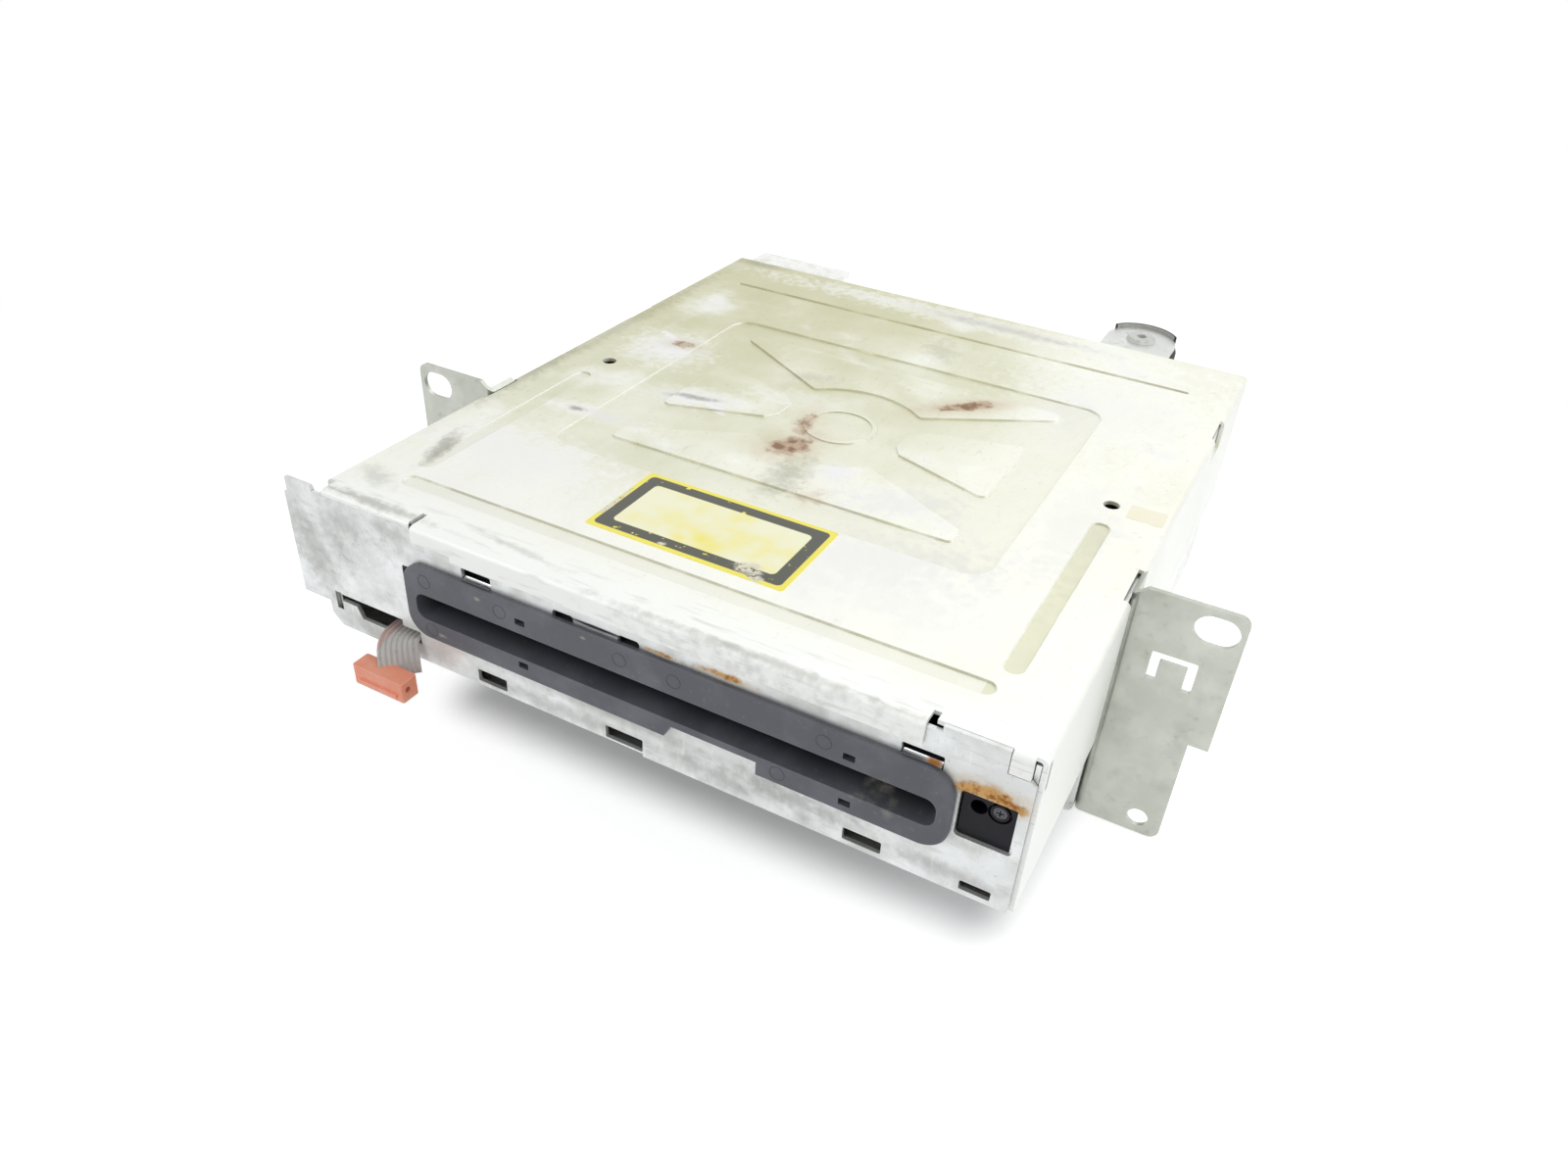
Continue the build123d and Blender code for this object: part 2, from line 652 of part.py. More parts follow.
RIM_R = LUG_R + 0.7
with BuildPart() as rear_bush:
    with BuildSketch(facing(LUG_Y)) as section:
        with BuildLine() as profile:
            Polyline(
                (LUG_X + 1.6, LUG_TOP - 9.0),
                (LUG_X + RIM_R - 1.0, LUG_TOP - 9.0),
                (LUG_X + RIM_R, LUG_TOP - 8.0),
                (LUG_X + RIM_R, LUG_TOP - PANEL_T - 1.2),
                (LUG_X + RIM_R - 0.5, LUG_TOP - PANEL_T),
                (LUG_X + 3.1, LUG_TOP - PANEL_T),
                (LUG_X + 3.1, LUG_TOP),
                (LUG_X + 4.6, LUG_TOP + 0.02),
                (LUG_X + 4.2, LUG_TOP + 1.2),
                (LUG_X + 1.6, LUG_TOP + 1.2),
                close=True,
            )
        make_face(profile.edges())
    revolve(section.sketch, Axis((LUG_X, LUG_Y, 0), (0, 0, 1)))
    # Rim that stands up behind the lug's round end
    with BuildSketch(level(LUG_TOP - PANEL_T - 1.2)) as rim:
        with Locations((LUG_X, LUG_Y)):
            Circle(RIM_R)
            Circle(LUG_R + 0.05, mode=Mode.SUBTRACT)
        with Locations((LUG_X, LUG_Y - RIM_R / 2)):
            Rectangle(2 * RIM_R + 2, 2 * RIM_R, mode=Mode.SUBTRACT)
    extrude(rim.sketch, amount=PANEL_T + 2.4)
finish(rear_bush, "rear_bush", RUBBER)

# Heat sink: a block on the rear panel, with level fins under a flat top
SINK_X = (-86.0, -52.0)
SINK_Z = (4.0, TOP - 1.5)
FINS = 9
FIN_T = 2.0
SINK_BASE = 4.0
SINK_DEPTH = 15.0
with BuildPart() as heat_sink:
    bar(SINK_X, (PANEL_OUT + 0.02, PANEL_OUT + SINK_BASE), SINK_Z)
    with BuildSketch(side(SINK_X[0])) as fins:
        with Locations((PANEL_OUT + SINK_DEPTH / 2 + 1, sum(SINK_Z) / 2)):
            with GridLocations(0, (SINK_Z[1] - SINK_Z[0] - FIN_T) / (FINS - 1), 1, FINS):
                Rectangle(SINK_DEPTH - 2, FIN_T)
    extrude(fins.sketch, amount=SINK_X[1] - SINK_X[0])
finish(heat_sink, "heat_sink", WHITE)

# Main board with the parts that a receiver needs
BOARD_TOP = BOARD_Z + BOARD_T
with BuildPart() as main_board:
    with BuildSketch(level(BOARD_Z)) as outline:
        window((-83.0, 83.0), (3.0, 130.0), 2.0)
        with Locations(*STUDS):
            Circle(SCREW_R, mode=Mode.SUBTRACT)
        window((-84.0, -79.0), (60.0, 76.0), 1.0, Mode.SUBTRACT)
    extrude(amount=BOARD_T)
finish(main_board, "main_board", GREEN)

with BuildPart() as board_screws:
    for stud in STUDS:
        rod(level(BOARD_TOP), stud, HEAD_R, HEAD_T)
        rod(level(BOARD_TOP), stud, 0.95, -4.0)
finish(board_screws, "board_screws", ZINC)

with BuildPart() as processor_chip:
    with BuildSketch(level(BOARD_TOP + 0.3)):
        window((-10.0, 10.0), (50.0, 70.0), 0.5)
    extrude(amount=2.0)
    with BuildSketch(level(BOARD_TOP)) as pins:
        with Locations((0, 60.0)):
            with GridLocations(1.0, 0, 16, 1):
                Rectangle(0.45, 23.0)
            with GridLocations(0, 1.0, 1, 16):
                Rectangle(23.0, 0.45)
    extrude(pins.sketch, amount=0.5)
finish(processor_chip, "processor_chip", BLACK)

with BuildPart() as amplifier_chip:
    with BuildSketch(level(BOARD_TOP + 3.0)) as body:
        window((-82.0, -54.0), (PANEL_IN - 5.0, PANEL_IN - 0.02), 0.5)
    extrude(body.sketch, amount=18.0)
    with BuildSketch(level(BOARD_TOP)) as legs:
        with Locations((-68.0, PANEL_IN - 6.5)):
            with GridLocations(1.7, 2.0, 15, 2):
                Rectangle(0.6, 0.5)
    extrude(legs.sketch, amount=3.6)
    with BuildSketch(level(BOARD_TOP + 3.0)) as knee:
        with Locations((-68.0, PANEL_IN - 6.4)):
            Rectangle(24.6, 3.2)
    extrude(knee.sketch, amount=0.6)
finish(amplifier_chip, "amplifier_chip", BLACK)

CANS = [
    (-46.0, 104.0, 6.3, 15.0),
    (-30.0, 106.0, 5.0, 12.0),
    (30.0, 30.0, 5.0, 11.0),
    (46.0, 30.0, 4.0, 9.0),
]
with BuildPart() as capacitors:
    for x, y, radius, height in CANS:
        rod(level(BOARD_TOP), (x, y), radius, height)
finish(capacitors, "capacitors", BLACK)
TUNER_X = (46.0, 80.0)
TUNER_Y = (74.0, 102.0)
TUNER_H = 14.0
with BuildPart() as tuner_box:
    bar(TUNER_X, TUNER_Y, (BOARD_TOP, BOARD_TOP + TUNER_H))
    fillet(tuner_box.edges().filter_by(Axis.Z), 1.0)
    with BuildSketch(level(BOARD_TOP + TUNER_H)) as trims:
        with Locations((sum(TUNER_X) / 2, sum(TUNER_Y) / 2)):
            with GridLocations(8.0, 12.0, 4, 2):
                Circle(1.6)
    extrude(trims.sketch, amount=-1.0, mode=Mode.SUBTRACT)
finish(tuner_box, "tuner_box", ZINC)

with BuildPart() as main_connector:
    bar((CONNECT_X[0], CONNECT_X[1]), (117.0, PANEL_IN - FIT), (BOARD_TOP, CONNECT_Z[1]))
    bar(
        (CONNECT_X[0] + FIT, CONNECT_X[1] - FIT),
        (PANEL_IN - 1.0, PANEL_OUT + 5.0),
        (CONNECT_Z[0] + FIT, CONNECT_Z[1] - FIT),
    )
    with BuildSketch(facing(PANEL_OUT + 5.0)) as ports:
        with Locations((sum(CONNECT_X) / 2, sum(CONNECT_Z) / 2)):
            with GridLocations(0, 10.4, 1, 2):
                RectangleRounded(46.0, 8.2, 0.6)
    extrude(ports.sketch, amount=12.0, mode=Mode.SUBTRACT)
    with BuildSketch(facing(PANEL_OUT + 4.0)) as pins:
        with Locations((sum(CONNECT_X) / 2, sum(CONNECT_Z) / 2)):
            with GridLocations(10.0, 10.4, 4, 2):
                Rectangle(2.4, 0.8)
    extrude(pins.sketch, amount=11.5)
finish(main_connector, "main_connector", BLACK)

with BuildPart() as antenna_socket:
    bar((AERIAL_X - 7.0, AERIAL_X + 5.5), (118.0, PANEL_IN - FIT), (BOARD_TOP, AERIAL_Z + 7.0))
    rod(facing(PANEL_IN - 1.0), (AERIAL_X, AERIAL_Z), AERIAL_R, -10.0)
    rod(facing(PANEL_IN + 9.5), (AERIAL_X, AERIAL_Z), AERIAL_R - 1.4, 16.0, Mode.SUBTRACT)
    rod(facing(PANEL_IN - 8.0), (AERIAL_X, AERIAL_Z), 1.2, -10.0)
finish(antenna_socket, "antenna_socket", ZINC)

# Ribbon lead: header on the board, flat eight-way lead, plug housing outside
HEADER_Y = 6.2
HEADER_TOP = BOARD_TOP + 6.0
PLUG_X = (-72.4, -57.0)
PLUG_Y = (FRONT - 11.5, FRONT - 6.5)
PLUG_Z = (LOWER - 3.3, LOWER + 2.2)
RUN_Z = LOWER + 4.0
SILL_Z = LOWER + 6.7
with BuildPart() as ribbon_header:
    bar((RIBBON_X - 7.0, RIBBON_X + 7.0), (HEADER_Y - 2.4, HEADER_Y + 2.4), (BOARD_TOP, HEADER_TOP))
    fillet(ribbon_header.edges().filter_by(Axis.Z), 0.5)
finish(ribbon_header, "ribbon_header", WHITE)

with BuildPart() as ribbon_cable:
    with BuildLine() as route:
        FilletPolyline(
            (RIBBON_X, HEADER_Y, HEADER_TOP),
            (RIBBON_X, HEADER_Y, RUN_Z),
            (RIBBON_X, FRONT + 16.0, RUN_Z),
            (RIBBON_X, FRONT + 6.0, SILL_Z),
            (RIBBON_X, FRONT - 4.2, SILL_Z),
            (RIBBON_X, sum(PLUG_Y) / 2, PLUG_Z[1] + 1.8),
            (RIBBON_X, sum(PLUG_Y) / 2, PLUG_Z[1]),
            radius=[3.0, 8.0, 8.0, 4.0, 2.0],
        )
    with BuildSketch(level(HEADER_TOP)) as section:
        with Locations((RIBBON_X, HEADER_Y)):
            Rectangle((WAYS - 1) * WAY_PITCH, 0.4)
            with GridLocations(WAY_PITCH, 0, WAYS, 1):
                Circle(WAY_T / 2)
    sweep(section.sketch, path=route.wire())
finish(ribbon_cable, "ribbon_cable", WHITE)

with BuildPart() as ribbon_connector:
    bar(PLUG_X, PLUG_Y, PLUG_Z)
    fillet(ribbon_connector.edges().filter_by(Axis.Z), 0.5)
    with BuildSketch(level(PLUG_Z[0])) as sockets:
        with Locations((sum(PLUG_X) / 2, sum(PLUG_Y) / 2)):
            with GridLocations(1.8, 0, WAYS, 1):
                Rectangle(1.0, 1.6)
    extrude(sockets.sketch, amount=3.0, mode=Mode.SUBTRACT)
    rod(side(PLUG_X[1]), (PLUG_Y[0] + 1.8, PLUG_Z[1] - 2.4), 0.8, -1.6, Mode.SUBTRACT)
    bar((PLUG_X[0] + 2.0, PLUG_X[1] - 2.0), (PLUG_Y[0] - 0.5, PLUG_Y[0]), (PLUG_Z[0] + 1, PLUG_Z[0] + 2))
finish(ribbon_connector, "ribbon_connector", RED)

# Plastic holder behind the plate's right window
HOLDER_SCREW = (82.4, 48.6)
with BuildPart() as side_holder:
    bar((75.0, WALL_IN - FIT - SHEET - 0.1), (PLATE_BACK + 0.02, PLATE_BACK + 9.0), (38.6, 53.4))
    fillet(side_holder.edges().filter_by(Axis.Y), 1.2)
    rod(facing(PLATE_BACK + 0.02), (78.3, 48.3), 1.7, -6.0, Mode.SUBTRACT)
    with BuildSketch(facing(PLATE_BACK + 0.02)) as recess:
        with Locations(HOLDER_SCREW):
            Circle(2.4)
            Circle(1.9, mode=Mode.SUBTRACT)
    extrude(recess.sketch, amount=-1.0, mode=Mode.SUBTRACT)
    rod(facing(PLATE_BACK), HOLDER_SCREW, 1.35, -7.0, Mode.SUBTRACT)
finish(side_holder, "side_holder", BLACK)

with BuildPart() as holder_screw:
    rod(facing(PLATE_BACK + 0.1), HOLDER_SCREW, 1.3, -6.0)
    with BuildSketch(facing(PLATE_BACK + 0.1)) as drive:
        with Locations(HOLDER_SCREW):
            Rectangle(1.6, 0.4)
            Rectangle(0.4, 1.6)
    extrude(drive.sketch, amount=-0.6, mode=Mode.SUBTRACT)
finish(holder_screw, "holder_screw", ZINC)

# Loader frame: a folded channel that carries the whole mechanism
ROLLER_Y = PIVOT_Y - 16.0
IDLER_Y = ROLLER_Y + 2.9
IDLER_Z = ROLLER_Z + sqrt((MODULE * (ROLLER_TEETH + IDLER_TEETH) / 2) ** 2 - 2.9**2)
PINION_REACH = MODULE * (IDLER_TEETH + PINION_TEETH) / 2
WHEEL_Y = IDLER_Y + 7.6
WHEEL_Z = IDLER_Z - sqrt(PINION_REACH**2 - 7.6**2)
WHEEL_X = 77.0
WHEEL_T = 3.0
WORM_R = 2.9
WORM_X = WHEEL_X + WHEEL_T / 2
WORM_Z = WHEEL_Z - MODULE * (WHEEL_TEETH / 2 + 1) - WORM_R - 0.1
WORM_L = 13.0
MOTOR_Y = WHEEL_Y + 9.0
MOTOR_R = 7.0
MOTOR_FLAT = 6.0
MOTOR_L = 20.0
DAMPERS = [(-77.0, 20.0), (-77.0, 98.0), (79.0, 28.0), (79.0, 98.0)]
DAMPER_HOLE = 3.2
LOAD_IN0 = LOAD_X0 + SHEET
LOAD_IN1 = LOAD_X1 - SHEET
LENS_X = DISC_X - TRACK_IN
LENS_R = 4.8
ROD_X0 = LENS_X - (TRACK_OUT - TRACK_IN) - 10.0
ROD_X1 = DISC_X - 9.0
SCREW_Y = DISC_Y + SCREW_GAP
TAIL_POINT = (PIVOT_Y + TAIL, PIVOT_Z)
clamp_open_y, clamp_open_z = turned(-CLAMP_TAIL_Y, -CLAMP_TAIL_Z, -CLAMP_OPEN)
CLAMP_PIN = (CLAMP_Y + clamp_open_y, CLAMP_Z + clamp_open_z)
CLAMP_PIN_SHUT = (CLAMP_Y - CLAMP_TAIL_Y, CLAMP_Z - CLAMP_TAIL_Z)
RIVETS = [(10.0, 38.6), (52.0, 38.6)]

with BuildPart() as loader_frame:
    with BuildSketch(facing(LOAD_Y0)) as channel:
        window((LOAD_X0, LOAD_X1), (PLATE_Z, LOAD_WALL + 4.0), BEND)
        window((LOAD_IN0, LOAD_IN1), (PLATE_Z + SHEET, LOAD_WALL + 5.0), BEND - SHEET, Mode.SUBTRACT)
        with Locations(((LOAD_X0 + LOAD_X1) / 2, LOAD_WALL + 5.0)):
            Rectangle(LOAD_X1 - LOAD_X0 + 2, 10.0, mode=Mode.SUBTRACT)
    extrude(channel.sketch, amount=LOAD_Y0 - LOAD_Y1)
    # Damper ears at plate level
    with BuildSketch(level(PLATE_Z)) as ears:
        for x, y in DAMPERS:
            root = LOAD_IN0 if x < 0 else LOAD_IN1
            with Locations((x, y)):
                Circle(6.5)
            with Locations(((x + root) / 2, y)):
                Rectangle(abs(x - root), 13.0)
        with Locations(*DAMPERS):
            Circle(DAMPER_HOLE, mode=Mode.SUBTRACT)
    extrude(ears.sketch, amount=SHEET)
    # Plate openings: roller arm, spindle, lens
    with BuildSketch(level(PLATE_Z)) as holes:
        window((LOAD_IN0, LOAD_IN1), (LOAD_Y0 + 3.0, PIVOT_Y + TAIL + 4.0), 0.6)
        with Locations((DISC_X, DISC_Y)):
            Circle(7.0)
        window((ROD_X0 + 3.0, LENS_X + LENS_R + 2.6), (DISC_Y - 7.5, DISC_Y + 7.5), 3.0)
    extrude(holes.sketch, amount=2 * SHEET, mode=Mode.SUBTRACT)
    # Wall openings on both sides, seen from the side
    with BuildSketch(side(LOAD_X0 - 1)) as both_walls:
        window((26.0, 74.0), (44.0, LOAD_WALL + 3), 2.0)
        window((ROLLER_Y - 3.2, ROLLER_Y + 2.6), (ROLLER_Z - 5.4, ROLLER_Z + 2.8), 1.0)
        with Locations((PIVOT_Y, PIVOT_Z), (CLAMP_Y, CLAMP_Z)):
            Circle(PIN_R)
        window((LOAD_Y0 + 3.0, LOAD_Y0 + 10.0), (47.3, 49.1), 0.2)
        Polygon(
            (84.0, LOAD_WALL + 1),
            (94.0, LOAD_WALL - 6),
            (60.0, LOAD_WALL - 6),
            (60.0, LOAD_WALL + 1),
            align=None,
        )
    extrude(both_walls.sketch, amount=LOAD_X1 - LOAD_X0 + 2, mode=Mode.SUBTRACT)
    with BuildSketch(side(LOAD_X0 - 1)) as left_wall:
        y, z = TAIL_POINT
        window((y - 2.4, y + 2.4), (z - 2.0, z + 4.2), 1.0)
        y, z = CLAMP_PIN
        window((y - 2.6, y + 2.6), (z - 4.0, z + 2.4), 1.0)
        with Locations(*RIVETS):
            Circle(PIN_R)
    extrude(left_wall.sketch, amount=2 * SHEET, mode=Mode.SUBTRACT)
    with BuildSketch(side(LOAD_X1 - 2 * SHEET)) as right_wall:
        window((MOTOR_Y - 0.6, MOTOR_Y + MOTOR_L + 0.6), (PLATE_Z - 1, WORM_Z + MOTOR_FLAT + 0.6), 0.6)
        with Locations((IDLER_Y, IDLER_Z), (WHEEL_Y, WHEEL_Z)):
            Circle(PIN_R)
    extrude(right_wall.sketch, amount=3 * SHEET, mode=Mode.SUBTRACT)
    # Motor plate turned out from the right wall
    bar((LOAD_IN1, WORM_X + MOTOR_R), (MOTOR_Y - SHEET, MOTOR_Y), (WORM_Z - 5.6, WORM_Z + 8.0))
    rod(facing(MOTOR_Y + 1), (WORM_X, WORM_Z), 3.1, 3.0, Mode.SUBTRACT)
    # Hangers for the guide rods and the lead screw, turned down under the plate
    for x in (ROD_X0, ROD_X1):
        for y, half in ((DISC_Y - ROD_GAP, 3.5), (DISC_Y + ROD_GAP + 2.5, 6.2)):
            bar((x - SHEET, x), (y - half, y + half), (ROD_Z - 3.4, PLATE_Z + 0.2))
    with BuildSketch(side(ROD_X0 - 2)) as rod_holes:
        with Locations((DISC_Y - ROD_GAP, ROD_Z), (DISC_Y + ROD_GAP, ROD_Z)):
            Circle(PIN_R)
        with Locations((SCREW_Y, ROD_Z)):
            Circle(1.0 + PIN_RUN)
    extrude(rod_holes.sketch, amount=ROD_X1 - ROD_X0 + 3, mode=Mode.SUBTRACT)
finish(loader_frame, "loader_frame", ZINC)

with BuildPart() as disc_guide:
    with BuildSketch(side(LOAD_IN0 + 0.3)) as section:
        with BuildLine() as outline:
            Polyline(
                (LOAD_Y0 + 1.0, 50.4),
                (LOAD_Y0 + 1.0, 47.4),
                (LOAD_Y0 + 24.0, 47.4),
                (LOAD_Y0 + 24.0, 50.4),
                (LOAD_Y0 + 22.8, 50.4),
                (LOAD_Y0 + 22.8, 49.0),
                (LOAD_Y0 + 2.2, 49.0),
                (LOAD_Y0 + 2.2, 50.4),
                close=True,
            )
        make_face(outline.edges())
    extrude(section.sketch, amount=LOAD_IN1 - LOAD_IN0 - 0.6)
    bar((LOAD_X0 - 0.3, LOAD_X1 + 0.3), (LOAD_Y0 + 3.2, LOAD_Y0 + 9.8), (47.4, 49.0))
    with BuildSketch(level(47.4)) as ribs:
        with Locations(((LOAD_X0 + LOAD_X1) / 2, LOAD_Y0 + 16.0)):
            with GridLocations(12.0, 0, 10, 1):
                SlotOverall(12.0, 1.2, rotation=90)
    extrude(ribs.sketch, amount=-0.8)
finish(disc_guide, "disc_guide", BLACK)

with BuildPart() as felt_pads:
    for span in ((-56.0, -2.0), (14.0, 66.0)):
        bar(span, (LOAD_Y0 + 1.4, LOAD_Y0 + 5.4), (46.8, 47.4))
finish(felt_pads, "felt_pads", BLACK)

with BuildPart() as arm_pivot:
    rod(side(LOAD_X0 - 0.2), (PIVOT_Y, PIVOT_Z), PIN_R, LOAD_X1 - LOAD_X0 + 0.3)
    rod(side(LOAD_X1), (PIVOT_Y, PIVOT_Z), 2.4, 1.2)
finish(arm_pivot, "arm_pivot", ZINC)

with BuildPart() as clamp_pivot:
    rod(side(LOAD_X0 - 1.2), (CLAMP_Y, CLAMP_Z), 2.4, 1.2)
    rod(side(LOAD_X0), (CLAMP_Y, CLAMP_Z), PIN_R, LOAD_X1 - LOAD_X0)
    rod(side(LOAD_X1), (CLAMP_Y, CLAMP_Z), 2.4, 1.2)
finish(clamp_pivot, "clamp_pivot", ZINC)

with BuildPart() as gear_pins:
    for y, z, length in ((IDLER_Y, IDLER_Z, 4.2), (WHEEL_Y, WHEEL_Z, 8.8)):
        rod(side(LOAD_IN1), (y, z), PIN_R, SHEET + length)
        rod(side(LOAD_X1 + length - 0.4), (y, z), PIN_R + 0.5, 0.8)
finish(gear_pins, "gear_pins", ZINC)

# Roller arm: two side arms, a channel between them and a cam pin on its tail
ARM_X0 = LOAD_IN0 + 0.6
ARM_X1 = LOAD_IN1 - 0.6
ARM_T = 1.5
with BuildPart() as roller_arm:
    for x, tail in ((ARM_X0, True), (ARM_X1 - ARM_T, False)):
        with BuildSketch(side(x)) as cheek:
            with Locations((ROLLER_Y, ROLLER_Z), (PIVOT_Y, PIVOT_Z)):
                Circle(3.0)
            with Locations((PIVOT_Y - 6.0, PIVOT_Z - 2.0)):
                Circle(2.5)
            if tail:
                with Locations(TAIL_POINT):
                    Circle(2.2)
            make_hull()
            with Locations((ROLLER_Y, ROLLER_Z), (PIVOT_Y, PIVOT_Z)):
                Circle(PIN_R + PIN_RUN, mode=Mode.SUBTRACT)
        extrude(cheek.sketch, amount=ARM_T)
    with BuildSketch(side(ARM_X0 + 0.5)) as channel:
        with BuildLine() as profile:
            Polyline(
                (PIVOT_Y - 13.0, PIVOT_Z - 2.2),
                (PIVOT_Y - 13.0, PIVOT_Z - 4.0),
                (PIVOT_Y - 3.0, PIVOT_Z - 4.0),
                (PIVOT_Y - 3.0, PIVOT_Z - 0.5),
                (PIVOT_Y - 4.2, PIVOT_Z - 0.5),
                (PIVOT_Y - 4.2, PIVOT_Z - 2.8),
                (PIVOT_Y - 11.8, PIVOT_Z - 2.8),
                (PIVOT_Y - 11.8, PIVOT_Z - 2.2),
                close=True,
            )
        make_face(profile.edges())
    extrude(channel.sketch, amount=ARM_X1 - ARM_X0 - 1.0)
    rod(side(ARM_X0 + 0.5), TAIL_POINT, CAM_PIN_R, LOAD_X0 - SLIDER_GAP - SLIDER_T - 0.2 - ARM_X0 - 0.5)
finish(roller_arm, "roller_arm", ZINC)

with BuildPart() as roller_shaft:
    rod(side(LOAD_IN0 + 0.3), (ROLLER_Y, ROLLER_Z), PIN_R, GEAR_X + GEAR_T + 0.4 - LOAD_IN0 - 0.3)
finish(roller_shaft, "roller_shaft", ZINC)

with BuildPart() as roller_sleeves:
    middle = (LOAD_IN0 + LOAD_IN1) / 2
    with BuildSketch(facing(ROLLER_Y)) as half_section:
        for sign in (-1, 1):
            Polygon(
                (middle + sign * 10.0, ROLLER_Z + PIN_R),
                (middle + sign * 62.0, ROLLER_Z + PIN_R),
                (middle + sign * 62.0, ROLLER_Z + SLEEVE_R),
                (middle + sign * 10.0, ROLLER_Z + SLEEVE_R - 0.5),
                align=None,
            )
    revolve(half_section.sketch, Axis((0, ROLLER_Y, ROLLER_Z), (1, 0, 0)))
finish(roller_sleeves, "roller_sleeves", RUBBER)

# Gear train, in mesh while the roller is up
idler_lean = degrees(atan2(ROLLER_Z - IDLER_Z, ROLLER_Y - IDLER_Y))
roller_lean = idler_lean + 180 + 180 / ROLLER_TEETH
pinion_line = degrees(atan2(WHEEL_Z - IDLER_Z, WHEEL_Y - IDLER_Y))
offset_turn = (idler_lean - pinion_line) * IDLER_TEETH / PINION_TEETH
pinion_lean = pinion_line + 180 - offset_turn + 180 / PINION_TEETH


def spur(centre, x, teeth, thick, lean, bore):
    """Add a spur gear round a pin that runs along x."""
    with BuildSketch(side(x)) as blank:
        with Locations(centre):
            tooth(teeth, lean)
            Circle(bore, mode=Mode.SUBTRACT)
    extrude(blank.sketch, amount=thick)


with BuildPart() as roller_gear:
    spur((ROLLER_Y, ROLLER_Z), GEAR_X, ROLLER_TEETH, GEAR_T, roller_lean, PIN_R)
finish(roller_gear, "roller_gear", WHITE)

with BuildPart() as idler_gear:
    spur((IDLER_Y, IDLER_Z), GEAR_X, IDLER_TEETH, GEAR_T, idler_lean, PIN_R + PIN_RUN)
finish(idler_gear, "idler_gear", WHITE)

with BuildPart() as worm_wheel:
    spur((WHEEL_Y, WHEEL_Z), GEAR_X, PINION_TEETH, WHEEL_X - GEAR_X, pinion_lean, PIN_R + PIN_RUN)
    spur((WHEEL_Y, WHEEL_Z), WHEEL_X, WHEEL_TEETH, WHEEL_T, 0, PIN_R + PIN_RUN)
finish(worm_wheel, "worm_wheel", WHITE)

with BuildPart() as worm:
    rod(facing(WHEEL_Y - WORM_L / 2), (WORM_X, WORM_Z), WORM_R - 0.9, -WORM_L)
    rod(facing(WHEEL_Y - WORM_L / 2 - 1.0), (WORM_X, WORM_Z), 0.9, WHEEL_Y - WORM_L / 2 - MOTOR_Y)
finish(worm, "worm", BRASS)

with BuildPart() as loading_motor:
    with BuildSketch(facing(MOTOR_Y)) as can:
        with Locations((WORM_X, WORM_Z)):
            Circle(MOTOR_R)
            Rectangle(2 * MOTOR_R, 2 * MOTOR_FLAT, mode=Mode.INTERSECT)
    extrude(can.sketch, amount=-MOTOR_L)
    rod(facing(MOTOR_Y), (WORM_X, WORM_Z), 3.0, 0.8)
    rod(facing(MOTOR_Y - 1), (WORM_X, WORM_Z), 0.9 + PIN_RUN, -5.0, Mode.SUBTRACT)
    rod(facing(MOTOR_Y + MOTOR_L), (WORM_X, WORM_Z), 2.4, -1.0)
finish(loading_motor, "loading_motor", ZINC)

# Clamp arm: drawn in its open position on a plane tilted at the hinge
lean_y, lean_z = cos(radians(CLAMP_OPEN)), sin(radians(CLAMP_OPEN))
REACH = CLAMP_Y - DISC_Y


def arm_level(z):
    """Return a plane parallel to the open arm, z above its hinge line."""
    hinge = Plane(origin=(DISC_X, CLAMP_Y, CLAMP_Z), x_dir=(1, 0, 0), z_dir=(0, lean_z, lean_y))
    return hinge.offset(z)


def arm_side(x):
    """Return an upright plane whose axes run along and square to the open arm."""
    return Plane(origin=(x, CLAMP_Y, CLAMP_Z), x_dir=(0, lean_y, -lean_z), z_dir=(1, 0, 0))


